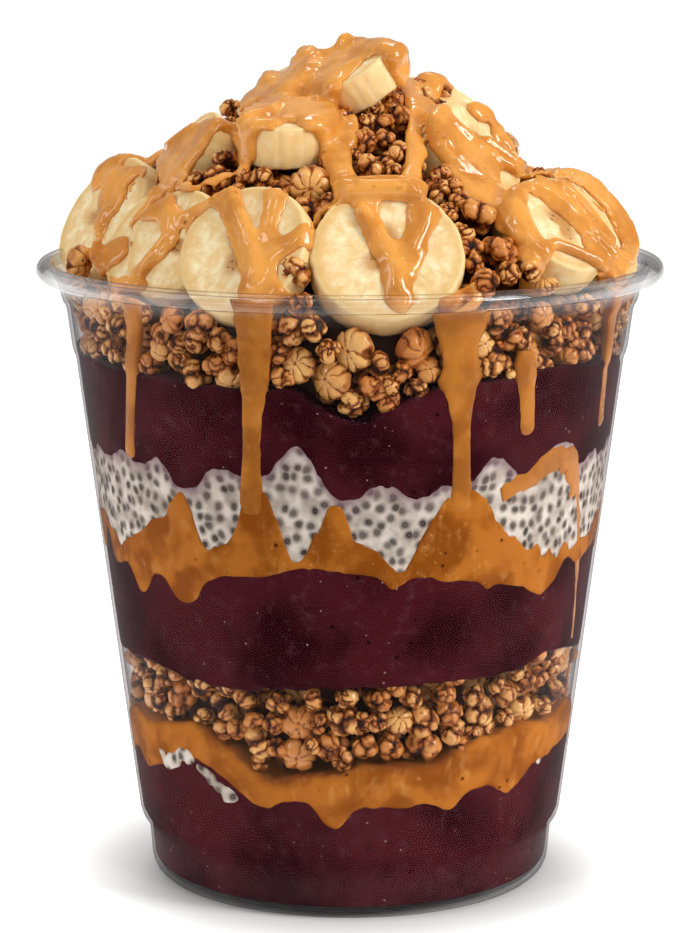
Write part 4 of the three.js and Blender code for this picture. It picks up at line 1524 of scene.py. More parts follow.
@dataclass
class Scatter:
    """Clusters with a place each, ready to be joined.

    Attributes:
        places: Their middles.
        sizes: Their radii.
        turns: Their rotations.
        kinds: Which model each one is.
        fine: Whether each one is seen close.
    """

    places: Array
    sizes: Array
    turns: Array
    kinds: Array
    fine: Array

    def kept(self, which: Array) -> "Scatter":
        """Only some of them."""
        return Scatter(*(values[which] for values in vars(self).values()))

    def with_more(self, other: "Scatter") -> "Scatter":
        """These and others."""
        return Scatter(*(np.concatenate(pair) for pair in zip(vars(self).values(), vars(other).values())))

    def form(self, models: Sequence[tuple[Form, Form]], seed: int) -> Form:
        """All of them as one shape.

        Args:
            models: Each model with many faces and with few.
            seed: Which tones they get.

        Returns:
            The shape, with tones and the painted shade of its creases as marks.
        """
        source = np.random.default_rng(seed)
        tones = source.uniform(0, 1, len(self.places))
        forms = []
        for place, size, turn, kind, fine, tone in zip(
                self.places, self.sizes, self.turns, self.kinds, self.fine, tones):
            model = models[kind][0 if fine else 1]
            squash = 1 + 0.14 * (tone - 0.5)
            points = (model.points * size * [1, squash, 2 - squash]) @ turn.T + place
            marks = {"fold": model.marks["fold"], "tone": np.full(len(points), tone)}
            forms.append(Form(points, model.faces, marks))
        joined = forms[0].joined(forms[1:])
        joined.faces = [np.concatenate(joined.faces)]
        return joined


@dataclass(frozen=True)
class Granola:
    """The granola: a band between the layers, and the heap with its band under it.

    Attributes:
        eye: The camera, for the clusters placed as they show.
        cup: The cup that holds it.
        slices: The banana that lies on it.
        grow: How much larger a listed cluster is made than it shows.
        inset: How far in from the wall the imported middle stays.
        on_wall: Clusters that show through the wall: pixel across, down and radius, and a 1 for a flower.
        low_on_wall: The same in the lower band.
        on_heap: The same on the heap.
        skyline: Pixels across and down along the top of all that shows, in a row.
        bare: Pixels across and down, and a radius in pixels, where nothing lies in front of the slices.
    """

    eye: Eye
    cup: Cup
    slices: Slices
    grow: float = 1.06
    inset: float = 7.4
    on_wall: Table = (
        (107, 327, 13), (105, 350, 14), (88, 330, 11), (90, 352, 11), (154, 336, 15), (151, 351, 12, 1),
        (170, 345, 12), (192, 325, 15), (187, 343, 14), (173, 363, 12), (189, 376, 15), (213, 343, 14),
        (228, 353, 14), (225, 383, 17, 1), (209, 366, 12), (283, 332, 16), (295, 368, 17, 1), (312, 328, 13),
        (277, 352, 12), (280, 380, 12), (355, 353, 21, 1), (331, 383, 20, 1), (352, 406, 16), (373, 387, 15),
        (382, 367, 14), (420, 351, 21, 1), (433, 372, 13, 1), (421, 390, 13), (392, 402, 13), (392, 386, 11),
        (403, 374, 12), (326, 352, 12), (488, 345, 14, 1), (501, 353, 11), (493, 368, 15), (506, 362, 10),
        (506, 321, 15), (518, 336, 14), (531, 340, 11), (551, 316, 13, 1), (561, 330, 11), (574, 328, 11),
        (579, 340, 9), (562, 345, 13), (549, 366, 14), (536, 353, 13, 1), (577, 358, 13, 1), (593, 330, 13),
        (595, 352, 13), (620, 328, 10), (618, 345, 9), (514, 374, 9), (245, 330, 11), (122, 362, 9), (455, 352, 12),
    )
    low_on_wall: Table = (
        (137, 668, 11), (144, 684, 10), (158, 677, 12), (150, 702, 13), (171, 697, 16), (193, 688, 15),
        (168, 714, 10), (196, 719, 10), (215, 709, 14), (218, 730, 14), (231, 731, 12), (249, 720, 15),
        (252, 747, 17), (271, 751, 11), (294, 726, 19, 1), (294, 759, 18, 1), (256, 763, 10), (343, 724, 18),
        (329, 752, 16), (342, 763, 12), (365, 750, 14), (379, 726, 11), (402, 724, 14, 1), (428, 726, 16),
        (392, 750, 13), (427, 751, 18), (454, 716, 15), (458, 734, 13), (466, 747, 10), (477, 737, 9), (481, 699, 12),
        (487, 716, 15), (492, 728, 12), (504, 686, 10), (516, 696, 14), (513, 720, 10), (534, 682, 13),
        (532, 711, 14, 1), (548, 678, 10), (561, 668, 12), (550, 705, 10), (318, 726, 11), (270, 727, 11),
        (362, 727, 11), (240, 702, 12), (275, 703, 12), (310, 703, 12), (345, 700, 12), (380, 702, 12),
        (415, 700, 12), (448, 696, 11), (311, 748, 9),
    )
    on_heap: Table = (
        (231, 109, 11), (418, 86, 10), (444, 93, 11), (430, 97, 9), (453, 99, 9), (372, 109, 11), (392, 104, 11),
        (366, 124, 12), (382, 126, 13), (364, 144, 13), (386, 141, 11), (397, 154, 13), (371, 168, 14),
        (386, 162, 11), (394, 174, 11), (352, 152, 9), (310, 186, 20, 1), (262, 178, 13), (441, 176, 13),
        (434, 189, 13), (453, 188, 11), (459, 202, 11), (475, 215, 19), (449, 211, 10), (498, 250, 18),
        (469, 249, 13), (474, 264, 11), (486, 283, 16), (509, 274, 13), (295, 272, 17), (330, 203, 11), (245, 176, 9),
    )
    skyline: tuple[float, ...] = (
        50, 262, 62, 236, 66, 200, 80, 182, 105, 168, 150, 168, 156, 158, 185, 131, 215, 106, 240, 98, 256, 78,
        290, 52, 337, 34, 361, 38, 400, 42, 412, 76, 457, 92, 470, 103, 495, 110, 520, 144, 530, 164, 560, 167,
        590, 171, 620, 201, 637, 240, 648, 264,
    )
    bare: Table = (
        (75, 243, 17), (160, 282, 12), (143, 180, 14), (96, 262, 10), (542, 272, 12), (525, 110, 14), (330, 205, 9),
    )

    @staticmethod
    def heap(x: Array, y: Array) -> Array:
        """Height of the heap's surface."""
        away = np.hypot(x, np.where(y < 8, 8 - y, 1.4 * (y - 8)))
        return 150.5 - 0.25 * away - 0.006 * away**2

    def _models(self) -> list[tuple[Form, Form]]:
        """The shapes that are used over and over, with many faces and with few."""
        looks = [Cluster(Look.WALNUT, n) for n in (3, 14, 25, 36, 47)]
        looks += [Cluster(Look.FLOWER, n) for n in (8, 19, 30)] + [Cluster(Look.BEAN, n) for n in (5, 16)]
        return [(look.model(0.19), look.model(0.055)) for look in looks]

    @staticmethod
    def _kind(source: np.random.Generator, count: int) -> Array:
        """Mostly walnuts, with flowers and beans between them."""
        return source.choice(10, count, p=[0.14, 0.14, 0.14, 0.14, 0.14, 0.07, 0.07, 0.06, 0.05, 0.05])

    def _facing(self, source: np.random.Generator, ways: Array) -> Array:
        """Rotations whose third axis looks roughly along some directions."""
        lean = unit(ways + 0.3 * source.normal(size=ways.shape))
        side = unit(np.cross(lean, unit(source.normal(size=ways.shape))))
        return np.stack([side, np.cross(lean, side), lean], -1)

    def _shown_on_wall(self, listed: Table, seed: int) -> Scatter:
        """The listed clusters, each touching the wall where its pixel looks."""
        source = np.random.default_rng(seed)
        places, sizes = [], []
        for across, down, pixels in (row[:3] for row in listed):
            way, start = self.eye.towards(across, down), self.eye.start()
            reach = np.linspace(500, 640, 1401)
            line = start + reach[:, None] * way
            inside = np.hypot(line[:, 0], line[:, 1]) < self.cup.wall(line[:, 2])
            at = line[int(np.argmax(inside))] if inside.any() else line[-1]
            size = pixels / self.eye.focus * reach[int(np.argmax(inside))] * self.grow
            out = unit(at * [1, 1, 0])
            places.append(at - out * (size * 0.99))
            sizes.append(size)
        places, sizes = np.array(places), np.array(sizes)
        kinds = self._kind(source, len(sizes))
        flower = np.array([len(row) > 3 for row in listed])
        kinds = np.where(flower, 5 + source.integers(0, 3, len(sizes)), np.where(kinds < 8, kinds % 5, kinds))
        out = unit(places * [1, 1, 0])
        turns = np.where(flower[:, None, None], self._facing(source, out), spun(source, len(sizes)))
        return Scatter(places, sizes, turns, kinds, np.ones(len(sizes), bool))

    @staticmethod
    def _apart(made: Scatter, places: Array, sizes: Array) -> Array:
        """Picks from some places the ones that keep clear of all that is there, in turn."""
        there, reach, chosen = list(made.places), list(made.sizes), []
        for n, (place, size) in enumerate(zip(places, sizes)):
            gap = np.linalg.norm(np.array(there) - place, axis=1) - (np.array(reach) + size) * 0.82
            if gap.min() > 0:
                there.append(place)
                reach.append(size)
                chosen.append(n)
        return np.array(chosen)

    def _fill_wall(self, shown: Scatter, floor: Edge, roof: Edge | None, seed: int) -> Scatter:
        """Clusters all round the wall, where none is listed, and a row behind them."""
        source = np.random.default_rng(seed)
        made = shown
        for deep, tries in ((0.0, 3200), (4.6, 1500)):
            angle = source.uniform(-180, 180, tries)
            size = source.uniform(2.2, 3.4, tries)
            low = floor.at(angle) + 0.5 * size
            high = roof.at(angle) + 0.6 if roof else np.full(tries, 112.0)
            height = low + source.uniform(0, 1, tries) * (high - low)
            places = polar(self.cup.wall(height) - size * 1.02 - deep, angle, height)
            pick = self._apart(made, places, size)
            out = unit(places[pick] * [1, 1, 0])
            kinds = self._kind(source, len(pick))
            flower = ((kinds > 4) & (kinds < 8))[:, None, None]
            turns = np.where(flower, self._facing(source, out), spun(source, len(pick)))
            fine = (np.abs(angle[pick]) < 95) & (deep == 0)
            made = made.with_more(Scatter(places[pick], size[pick], turns, kinds, fine))
        return made

    def _shown_on_heap(self) -> Scatter:
        """The listed clusters on the heap, each where its pixel meets the heap or passes nearest."""
        source = np.random.default_rng(71)
        places, sizes = [], []
        for across, down, pixels in (row[:3] for row in self.on_heap):
            reach = np.linspace(520, 660, 1401)
            line = self.eye.start() + reach[:, None] * self.eye.towards(across, down)
            over = line[:, 2] - self.heap(line[:, 0], line[:, 1])
            at = int(np.argmax(over < 0.6)) if (over < 0.6).any() else int(np.argmin(over))
            places.append(line[at])
            sizes.append(pixels / self.eye.focus * reach[at] * self.grow)
        places, sizes = np.array(places), np.array(sizes)
        flower = np.array([len(row) > 3 for row in self.on_heap])
        kinds = np.where(flower, 5, source.integers(0, 5, len(sizes)))
        towards = unit(self.eye.start() - places)
        turns = np.where(flower[:, None, None], self._facing(source, towards), spun(source, len(sizes)))
        return Scatter(places, sizes, turns, kinds, np.ones(len(sizes), bool))

    def _under_skyline(self, places: Array, sizes: Array) -> Array:
        """Which things stay under the outline of the heap as it shows."""
        away = places - self.eye.start()
        c, s = math.cos(math.radians(self.eye.tilt)), math.sin(math.radians(self.eye.tilt))
        deep = away[:, 1] * c - away[:, 2] * s
        across = self.eye.width / 2 + self.eye.focus * away[:, 0] / deep
        down = self.eye.tall / 2 - self.eye.focus * (away[:, 2] * c + away[:, 1] * s) / deep
        pixels = sizes * self.eye.focus / deep
        line = [np.interp(across + side * pixels, self.skyline[::2], self.skyline[1::2]) for side in (-0.8, 0, 0.8)]
        free = np.ones(len(places), bool)
        for x, y, radius in self.bare:
            free &= (np.hypot(across - x, down - y) > radius) | (places[:, 1] > 12)
        return free & (down - 0.9 * pixels > np.max(line, axis=0))

    def _fill_heap(self, made: Scatter) -> Scatter:
        """Clusters all over the heap between the slices, and a row under them."""
        source = np.random.default_rng(72)
        for deep, tries in ((0.4, 5200), (4.4, 2200)):
            x, y = source.uniform(-52, 52, (2, tries))
            z = self.heap(x, y) - deep
            size = source.uniform(2.1, 3.4, tries)
            places = np.stack([x, y, z], -1)
            room = self.cup.wall(z) - size
            good = (np.hypot(x, y) < np.minimum(room, 51.5)) & (z > 101) & ~self.slices.holds(places, size)
            good &= self._under_skyline(places, size)
            places, size = places[good], size[good]
            pick = self._apart(made, places, size)
            kinds = self._kind(source, len(pick))
            fine = (places[pick][:, 1] < 12) & (deep < 1)
            made = made.with_more(Scatter(places[pick], size[pick], spun(source, len(pick)), kinds, fine))
        return made

    def _core(self, name: str, low: float, high: Callable[[Array, Array], Array], node: str,
              finish: Finish) -> None:
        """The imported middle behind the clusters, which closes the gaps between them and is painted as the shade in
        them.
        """
        sides = 240
        angles = np.linspace(-180, 180, sides, endpoint=False)
        rows = []
        for height in np.linspace(low, 103 if low > 80 else low + 16, 14):
            rows.append(polar(self.cup.wall(height) - self.inset, angles, height))
        top = rows[-1]
        for share in np.linspace(0.97, 0.04, 30):
            x, y = (top[:, :2] * share).T
            rows.append(np.stack([x, y, high(x, y)], -1))
        points = np.concatenate(rows)
        lumps = Grain(5.2, 9).at(points) * 1.3 + Grain(1.9, 4).at(points) * 0.5
        points += lumps[:, None] * unit(points - [0, 0, low + 5])
        for _ in range(40):
            points[:, 2] -= 1.0 * (self.slices.holds(points, np.full(len(points), 2.5)) & (points[:, 2] > 104))
        count = len(points)
        middle = [[0, 0, low], [0, 0, float(high(np.zeros(1), np.zeros(1))[0])]]
        # Painted shade: the middle shows only in the gaps, so it gets the dark colour of a deep crease.
        marks = {"fold": np.full(count + 2, 0.9), "tone": np.full(count + 2, 0.2)}
        core = Form(np.concatenate([points, middle]), capped(len(rows), sides), marks).make(name)
        dress(core, finish, [node])

    def make(self) -> None:
        """Builds and dresses both lots of granola."""
        models = self._models()
        finish = Toasted().material()
        lower = self._fill_wall(self._shown_on_wall(self.low_on_wall, 31), BUTTER_LOW_TOP, ACAI_MIDDLE_LOW, 32)
        upper = self._fill_wall(self._shown_on_wall(self.on_wall, 41), ACAI_UPPER_TOP, None, 42)
        upper = upper.kept(~self.slices.holds(upper.places, upper.sizes))
        upper = upper.kept(self._under_skyline(upper.places, upper.sizes))
        heap = self._fill_heap(upper.with_more(self._shown_on_heap()))
        self._core("granola_lower_core", 31, lambda x, y: np.full(np.shape(x), 45.0), "granola_lower", finish)
        self._core("granola_top_core", 97, lambda x, y: self.heap(x, y) - 6.2, "granola_top", finish)
        self._make_lot("granola_lower_clusters", lower, models, "granola_lower", finish)
        self._make_lot("granola_top_clusters", heap, models, "granola_top", finish)

    def _make_lot(self, name: str, lot: Scatter, models: Sequence[tuple[Form, Form]], node: str,
                  finish: Finish) -> None:
        """Joins a lot into pieces of moderate size, each of its own kinds."""
        weight = np.array([models[k][0 if f else 1].triangles() for k, f in zip(lot.kinds, lot.fine)])
        order = np.argsort(lot.kinds, kind="stable")
        group = np.cumsum(weight[order]) // 180000
        for number in range(int(group[-1]) + 1):
            part = lot.kept(order[group == number])
            piece = part.form(models, 50 + number).make(f"{name}_{number + 1}")
            dress(piece, finish, [node])


# ---- the sauce poured over


@dataclass(frozen=True)
class Pour:
    """One stroke of sauce over the top.

    Attributes:
        line: Pixel across and down and half width in pixels, point after point; from above, x, y and half width.
        thick: How thick it lies in its middle.
        lands: Angle and height on the wall where it ends, if it does.
        above: Whether its line is given from above.
    """

    line: tuple[float, ...]
    thick: float = 1.7
    lands: tuple[float, float] | None = None
    above: bool = False


@dataclass(frozen=True)
class Sheet:
    """A broad patch of sauce.

    Attributes:
        outline: Pixels across and down of each corner round it, in a row.
        thick: How thick it lies.
        lip: How many pixels its edge takes to reach that.
    """

    outline: tuple[float, ...]
    thick: float = 1.25
    lip: float = 9

    def depths(self, spots: Array) -> Array:
        """How thick it lies at some pixels.

        Args:
            spots: Rows of two numbers.

        Returns:
            The thicknesses, 0 outside.
        """
        first = np.array(self.outline, float).reshape(-1, 2)
        way = np.roll(first, -1, axis=0) - first
        inside = np.zeros(len(spots), bool)
        nearest = np.full(len(spots), np.inf)
        for start, step in zip(first, way):
            away = spots - start
            crosses = (away[:, 1] < 0) != (away[:, 1] < step[1])
            level = step[1] if abs(step[1]) > 1e-9 else 1e-9
            inside ^= crosses & (away[:, 0] < step[0] * away[:, 1] / level)
            share = np.clip(away @ step / max(step @ step, 1e-9), 0, 1)
            nearest = np.minimum(nearest, np.linalg.norm(away - share[:, None] * step, axis=1))
        rise = np.clip(nearest / self.lip, 0, 1)
        return np.where(inside, self.thick * np.sqrt(1 - (1 - rise) ** 2), 0)


@dataclass(frozen=True)
class Topping:
    """The nut butter over the slices and the heap, as one clinging sheet.

    Attributes:
        eye: The camera, for the sheets and strokes given as they show.
        cup: The cup whose rim it reaches.
        slices: The banana that it covers.
        step: Distance from drop to drop.
        sheets: All its sheets.
        pours: All its strokes.
    """

    eye: Eye
    cup: Cup
    slices: Slices
    step: float = 0.8
    sheets: tuple[Sheet, ...] = (
        # the crown, and down both sides of the upper slice
        Sheet((256, 92, 260, 78, 271, 72, 284, 74, 291, 70, 290, 60, 296, 50, 310, 46, 326, 45, 335, 40, 340, 33,
            348, 32, 357, 36, 372, 40, 385, 39, 398, 44, 406, 54, 409, 66, 409, 80, 415, 94, 404, 98, 396, 84,
            388, 70, 381, 56, 373, 57, 360, 66, 346, 80, 340, 92, 338, 102, 322, 104, 304, 92, 290, 97, 262, 98), 1.6),
        Sheet((304, 86, 340, 88, 339, 104, 345, 118, 349, 130, 352, 142, 350, 154, 352, 166, 355, 178, 362, 188,
            350, 203, 334, 203, 332, 188, 326, 174, 321, 160, 318, 146, 316, 134, 302, 130, 296, 124, 284, 122,
            280, 116, 285, 106, 294, 96), 1.7),
        Sheet((302, 92, 286, 106, 279, 117, 262, 120, 246, 122, 239, 131, 238, 145, 238, 158, 240, 168, 234, 176,
            220, 183, 204, 188, 200, 182, 214, 178, 228, 172, 242, 178, 250, 170, 256, 160, 256, 137, 263, 131,
            276, 129, 284, 124, 302, 126), 1.5),
        Sheet((396, 82, 410, 84, 416, 96, 430, 102, 436, 112, 424, 120, 422, 132, 427, 146, 427, 158, 421, 168,
            421, 182, 424, 194, 414, 202, 396, 202, 388, 192, 396, 183, 404, 172, 405, 158, 404, 140, 408, 124,
            406, 110, 402, 98), 1.8),
        Sheet((239, 117, 240, 105, 247, 95, 258, 88, 270, 83, 290, 86, 306, 90, 300, 103, 286, 112, 270, 119,
            250, 122), 1.3, 6),
        # the middle front slice
        Sheet((336, 203, 350, 203, 356, 211, 359, 222, 363, 235, 368, 246, 372, 257, 379, 266, 381, 276, 382, 288,
            384, 300, 390, 309, 400, 314, 410, 311, 416, 302, 414, 288, 416, 276, 422, 264, 427, 252, 429, 238,
            437, 226, 443, 217, 440, 209, 430, 202, 420, 192, 409, 200, 406, 212, 408, 222, 404, 232, 400, 241,
            391, 238, 385, 229, 381, 218, 381, 206, 384, 194, 350, 190, 334, 194), 1.05),
        Sheet((340, 204, 332, 210, 322, 217, 316, 227, 313, 239, 311, 251, 306, 255, 304, 246, 306, 233, 311, 221,
            318, 211, 328, 203, 338, 198), 0.9, 5),
        # the slice left of it
        Sheet((184, 234, 190, 219, 202, 204, 214, 194, 228, 187, 241, 187, 244, 206, 249, 222, 255, 234, 260, 224,
            263, 200, 264, 188, 278, 187, 290, 193, 288, 200, 282, 214, 279, 226, 281, 238, 292, 231, 306, 220,
            310, 230, 303, 247, 290, 255, 279, 262, 277, 278, 286, 290, 298, 296, 290, 306, 262, 308, 240, 306,
            238, 292, 240, 278, 237, 262, 232, 248, 228, 236, 225, 226, 218, 212, 211, 206, 202, 214, 192, 226,
            187, 238), 1.05),
        # the fanned slices at the left
        Sheet((103, 178, 110, 168, 120, 165, 142, 165, 151, 171, 139, 178, 133, 187, 127, 200, 120, 210, 110, 223,
            104, 234, 101, 248, 98, 262, 86, 262, 90, 246, 97, 234, 99, 222, 97, 210, 100, 196), 1.3),
        Sheet((148, 190, 160, 183, 176, 180, 192, 183, 203, 190, 192, 194, 178, 194, 165, 198, 152, 206, 140, 216,
            132, 229, 128, 226, 138, 212, 148, 202), 1.2, 6),
        Sheet((133, 230, 140, 216, 152, 206, 165, 198, 177, 194, 178, 204, 185, 212, 196, 206, 206, 198, 199, 212,
            187, 222, 181, 234, 178, 245, 170, 255, 158, 263, 148, 270, 142, 280, 131, 282, 134, 270, 142, 262,
            152, 254, 158, 246, 163, 240, 160, 231, 162, 225, 154, 222, 145, 221, 138, 222), 1.3, 7),
        Sheet((102, 263, 102, 252, 107, 244, 114, 240, 122, 236, 130, 235, 133, 242, 131, 252, 126, 259, 119, 263,
            112, 269, 105, 270), 1.2, 7),
        # the small slice above them
        Sheet((154, 176, 156, 160, 163, 150, 172, 141, 184, 132, 197, 127, 205, 120, 214, 117, 226, 120, 237, 124,
            239, 133, 228, 133, 218, 131, 212, 138, 208, 147, 200, 159, 192, 169, 186, 180, 176, 183, 162, 180), 1.05),
        # the upper right slice
        Sheet((428, 103, 447, 103, 453, 113, 461, 124, 472, 131, 487, 141, 500, 148, 512, 158, 524, 170, 530, 177,
            518, 181, 508, 172, 500, 170, 500, 181, 503, 190, 500, 206, 494, 214, 484, 207, 474, 202, 462, 192,
            452, 180, 446, 168, 438, 158, 431, 150, 428, 138, 424, 124, 426, 112), 1.05),
        Sheet((464, 104, 476, 103, 488, 107, 496, 117, 488, 125, 478, 123, 470, 116), 1.6, 7),
        Sheet((488, 120, 497, 120, 508, 128, 517, 138, 520, 148, 512, 152, 500, 144, 488, 136), 0.8, 7),
        # the two lower right slices
        Sheet((496, 200, 506, 191, 520, 184, 532, 181, 528, 194, 526, 206, 530, 218, 536, 230, 541, 240, 556, 246,
            552, 256, 545, 268, 541, 282, 554, 292, 538, 296, 518, 292, 520, 278, 524, 268, 518, 262, 516, 250,
            512, 240, 500, 232, 494, 222, 492, 210), 1.6),
        Sheet((524, 190, 533, 181, 546, 178, 560, 182, 572, 190, 578, 200, 584, 214, 592, 230, 604, 240, 616, 242,
            620, 256, 622, 270, 612, 282, 596, 285, 596, 272, 588, 262, 572, 254, 556, 249, 548, 242, 560, 243,
            574, 248, 584, 250, 580, 238, 570, 226, 556, 214, 544, 204, 534, 197), 1.05),
        Sheet((518, 184, 530, 174, 545, 170, 560, 168, 575, 167, 590, 173, 604, 183, 616, 197, 624, 211, 632, 226,
            638, 242, 637, 256, 632, 266, 621, 268, 618, 254, 618, 240, 612, 226, 600, 210, 588, 196, 578, 188,
            564, 182, 548, 178, 534, 181), 1.4),
    )
    pours: tuple[Pour, ...] = (
        # lumps on the crown
        Pour((341, 44, 11, 350, 44, 11), 3.4),
        Pour((388, 50, 11, 397, 62, 10), 3.0),
        Pour((300, 58, 9, 316, 55, 9), 2.8),
        Pour((267, 86, 10, 280, 84, 10), 3.0),
        # ridges
        Pour((292, 96, 3, 284, 107, 3, 268, 116, 3, 246, 120, 3, 240, 130, 2.5, 239, 150, 2), 1.9),
        Pour((340, 192, 9, 362, 191, 8, 388, 190, 9, 410, 191, 9, 422, 195, 7), 2.7),
        Pour((350, 120, 5, 352, 134, 6, 348, 150, 6), 2.2),
        Pour((448, 122, 3, 470, 142, 4, 492, 158, 4, 516, 174, 3), 1.9),
        Pour((482, 138, 2, 502, 152, 3, 522, 168, 2.5), 1.9),
        Pour((440, 140, 4, 456, 160, 5, 476, 178, 5, 492, 192, 4), 2.0),
        Pour((534, 188, 2.5, 556, 200, 3.5, 580, 222, 4, 602, 246, 4, 616, 262, 3), 2.0),
        Pour((556, 184, 2.5, 576, 200, 3, 596, 224, 3.5, 612, 246, 3), 2.0),
        Pour((548, 243, 2, 572, 252, 3, 598, 264, 4, 612, 274, 3), 1.9),
        Pour((564, 174, 3, 592, 184, 4, 614, 206, 4, 628, 232, 4, 632, 252, 4), 2.1),
        Pour((504, 206, 6, 508, 222, 6, 524, 240, 6, 532, 262, 6), 2.2),
        Pour((168, 152, 4, 182, 140, 4, 200, 128, 4), 2.0),
        Pour((232, 190, 4, 238, 212, 5, 250, 240, 8, 256, 262, 9, 254, 286, 10), 2.0),
        Pour((358, 208, 4, 368, 226, 6, 384, 246, 8, 396, 268, 9, 399, 296, 9), 2.0),
        Pour((426, 206, 6, 426, 224, 6, 416, 244, 7, 404, 262, 7), 1.9),
        Pour((116, 172, 6, 112, 192, 6, 108, 214, 5, 100, 236, 4), 1.9),
        Pour((168, 204, 5, 174, 222, 4, 168, 240, 4, 154, 258, 5, 142, 274, 4), 1.9),
        # on and down the wall
        Pour((252, 292, 15, 254, 302, 15), 1.7, lands=(-18, 114)),
        Pour((78, 270, 8, 88, 270, 7), 2.2),
        Pour((96, 254, 6, 98, 266, 6, 104, 276, 6), 1.8, lands=(-49, 113.6)),
        Pour((114, 284, 6, 132, 284, 7, 146, 286, 6), 1.6),
        Pour((622, 262, 8, 620, 272, 7), 1.8, lands=(63.5, 113.8)),
        Pour((440, 306, 12, 462, 308, 14, 484, 304, 10), 1.8, lands=(21.4, 112.5)),
        # behind
        Pour((10, 4, 3, 16, 11, 3.2, 21, 20, 3.4, 29, 27, 3, 34, 33, 2.6), 1.8, above=True),
        Pour((-2, 8, 3, -10, 16, 3.2, -17, 27, 3.4, -22, 36, 3, -25, 44, 2.6), 1.8, above=True),
        Pour((36, 14, 2.6, 42, 17, 3.2, 49, 20, 2.6), 1.7, above=True),
        Pour((10, 20, 2.6, 16, 30, 3, 23, 38, 3.4, 28, 46, 2.8, 31, 50, 2.6), 1.7, lands=(128, 113), above=True),
        Pour((-1, 18, 3, -2, 30, 3.2, -5, 42, 3.6, -6, 50, 2.8), 1.8, above=True),
        Pour((-20, 20, 2.6, -26, 28, 3, -31, 36, 3.2, -26, 46, 3), 1.7, lands=(204, 113), above=True),
        Pour((-34, 14, 2.4, -42, 16, 3, -49, 18, 2.4), 1.6, above=True),
    )

    def _skin(self, slices: Sequence[Form]) -> BVHTree:
        """The surface that the sauce lies on: the slices and the heap's tops."""
        line = np.linspace(-50, 50, 81)
        x, y = np.meshgrid(line, line)
        points = np.stack([x.ravel(), y.ravel(), (Granola.heap(x, y) + 1.3).ravel()], -1)
        faces = quads(81, 81, closed=False)
        keep = np.hypot(*points[faces].mean(1)[:, :2].T) < 49
        for _ in range(40):
            points[:, 2] -= 1.0 * (self.slices.holds(points, np.full(len(points), 1.0)) & (points[:, 2] > 106))
        every, corners, start = [points], faces[keep].tolist(), len(points)
        for form in slices:
            every.append(form.points)
            for group in form.faces:
                corners += (group + start).tolist()
            start += len(form.points)
        return BVHTree.FromPolygons(np.concatenate(every).tolist(), corners)

    def _spread(self, sheet: Sheet, skin: BVHTree) -> list[Drop]:
        """The drops of one sheet: a middle and a radius each."""
        outline = np.array(sheet.outline, float).reshape(-1, 2)
        pitch = self.step * self.eye.focus / 590 * 0.85
        x, y = (np.arange(low, high + pitch, pitch) for low, high in zip(outline.min(0), outline.max(0)))
        grid = np.stack(np.meshgrid(x, y), -1)
        depth = sheet.depths(grid.reshape(-1, 2)).reshape(grid.shape[:2])
        found: dict[tuple[int, int], Drop] = {}
        for row, column in zip(*np.nonzero(depth > 0.25)):
            hit, normal = self._cast(grid[row, column], False, skin)
            if hit is not None:
                size = max(0.58, 0.55 * depth[row, column])
                found[row, column] = (hit + normal * (depth[row, column] - size), size)
        drops = list(found.values())
        for (row, column), drop in found.items():
            for beside, limit in (((row, column + 1), 4.0), ((row + 1, column), 7.0)):
                if beside in found:
                    drops += self._bridge(drop, found[beside], limit, 0)
        return drops

    def _drops(self, pour: Pour, skin: BVHTree) -> list[Drop]:
        """The drops of one stroke: a middle and a radius each."""
        line = np.array(pour.line, float).reshape(-1, 3)
        scale = 1.0 if pour.above else self.eye.focus / 590
        along = np.concatenate([[0], np.cumsum(np.hypot(*np.diff(line[:, :2], axis=0).T))])
        count = max(int(along[-1] / scale / self.step), 1) + 1
        steps = np.linspace(0, along[-1], count)
        x, y, half = (np.interp(steps, along, column) for column in line.T)
        soft = np.array([0.25, 0.5, 0.25])
        for _ in range(4 if count > 4 else 0):
            x[1:-1], y[1:-1] = np.convolve(x, soft, "valid"), np.convolve(y, soft, "valid")
        slope = np.stack([np.gradient(x), np.gradient(y)], -1)
        side = unit(np.stack([-slope[:, 1], slope[:, 0]], -1))
        tail = np.minimum(steps, steps[-1] - steps) / np.maximum(half, 0.1)
        ends = np.sqrt(1 - (1 - np.clip(tail + 0.15, 0, 1)) ** 2)
        drops: list[Drop] = []
        for lane in np.arange(-1, 1.001, self.step * scale / half.max()):
            last: Drop | None = None
            for n in range(count):
                wide = half[n] * (ends[n] if pour.lands is None or steps[n] < steps[-1] / 2 else 1)
                spot = np.array([x[n], y[n]]) + side[n] * lane * wide
                hit, normal = self._cast(spot, pour.above, skin)
                if hit is None:
                    last = None
                    continue
                dome = pour.thick * math.sqrt(max(1 - lane * lane, 0.0)) * max(ends[n], 0.35)
                size = max(0.58, 0.6 * dome)
                drop = (hit + normal * (dome - size), size)
                if last is not None:
                    drops += self._bridge(last, drop, 12, 0.08)
                drops.append(drop)
                last = drop
            if pour.lands is not None and last is not None:
                angle, height = pour.lands
                wide = np.degrees(lane * half[-1] / scale / 53)
                end = (polar(float(self.cup.wall(height)) - 0.5, angle + wide, height), 1.0)
                drops += [*self._bridge(last, end, 26, 0.08), end]
        return drops

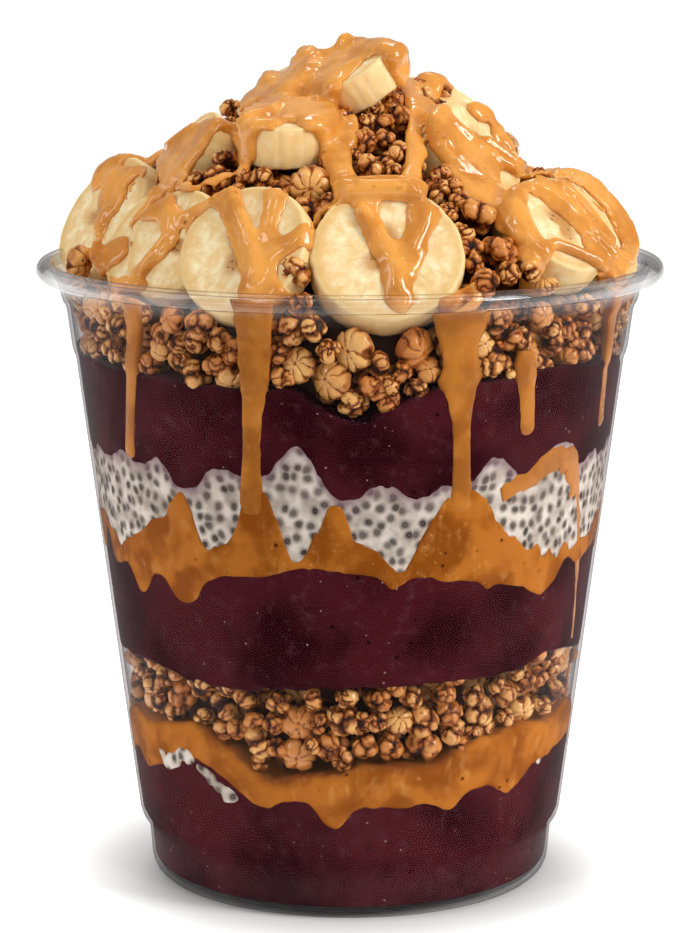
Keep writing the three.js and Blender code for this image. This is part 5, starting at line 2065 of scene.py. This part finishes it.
    def _cast(self, spot: Array, above: bool, skin: BVHTree) -> tuple[Array | None, Array | None]:
        """Where a pixel, or a plumb line, meets the surface."""
        if above:
            start, way = np.array([spot[0], spot[1], 200.0]), np.array([0.0, 0.0, -1.0])
        else:
            start, way = self.eye.start(), self.eye.towards(*spot)
        hit, normal, _, _ = skin.ray_cast(start.tolist(), way.tolist())
        if hit is not None:
            facing = np.array(normal)
            return np.array(hit), facing if facing @ way < 0 else -facing
        best = (None, None, 3.8)
        for reach in () if above else np.arange(556, 640, 1.5):
            spot = start + reach * way
            near, _, _, gap = skin.find_nearest(spot.tolist(), best[2])
            if near is not None and gap > 0.05:
                best = (np.array(near), (spot - np.array(near)) / gap, gap)
        if best[0] is None:
            return None, None
        return best[0] + best[1] * max(best[2] - 1.2, 0), best[1]

    def _bridge(self, first: Drop, second: Drop, limit: float, slack: float) -> list[Drop]:
        """Drops that close a gap up to a limit, sagging by a share of it."""
        gap = float(np.linalg.norm(second[0] - first[0]))
        if gap < self.step * 1.2 or gap > limit:
            return []
        shares = np.linspace(0, 1, int(gap / self.step) + 2)[1:-1]
        return [(first[0] * (1 - s) + second[0] * s - np.array([0, 0, slack * gap * 4 * s * (1 - s)]),
                 first[1] * (1 - s) + second[1] * s) for s in shares]

    def make(self, slices: Sequence[Form], finish: Finish) -> None:
        """Melts all the drops into one sheet.

        Args:
            slices: The slices' shapes.
            finish: The nut butter's material.
        """
        skin = self._skin(slices)
        drops = [drop for sheet in self.sheets for drop in self._spread(sheet, skin)]
        drops += [drop for pour in self.pours for drop in self._drops(pour, skin)]
        places = np.array([place for place, _ in drops])
        sizes = np.array([size for _, size in drops])
        points, faces = ball(2)
        cloud = (places[:, None] + sizes[:, None, None] * points[None]).reshape(-1, 3)
        corners = (faces[None] + (np.arange(len(drops)) * len(points))[:, None, None]).reshape(-1, 3)
        log.info("sauce: %d drops", len(drops))
        sheet = settled(Form(cloud, [corners]), "butter_topping", [
            ("REMESH", {"mode": "VOXEL", "voxel_size": 0.4 * MM, "adaptivity": 0.0}),
            ("SMOOTH", {"factor": 0.5, "iterations": 13}),
        ])
        dress(sheet, finish, ["granola_top"])


# ---- all of it


def main() -> None:
    """Builds the acai bowl and its stage."""
    logging.basicConfig(level=logging.INFO, format="%(message)s")
    eye, cup, slices = Eye(), Cup(), Slices()
    eye.make()
    Studio().make()
    cup.make()
    Filling().make(cup)
    butter = NutButter("peanut_butter_poured", linear(204, 130, 46), linear(230, 157, 68),
                       linear(242, 188, 112), 0.25, 0.09, 0.6).material()
    # Painted shade: a darker copy of the nut butter for the runs inside the cup.
    clinging = NutButter("peanut_butter_on_wall", linear(158, 92, 28), linear(188, 116, 40),
                         linear(210, 142, 70), 0.2, 0.2, 0.1).material()
    chia = ChiaPudding(spacing=2.6).material()
    WallSauce().make(cup, clinging, chia)
    forms = slices.make()
    Granola(eye, cup, slices).make()
    Topping(eye, cup, slices).make(forms, butter)


if __name__ == "__main__":
    main()
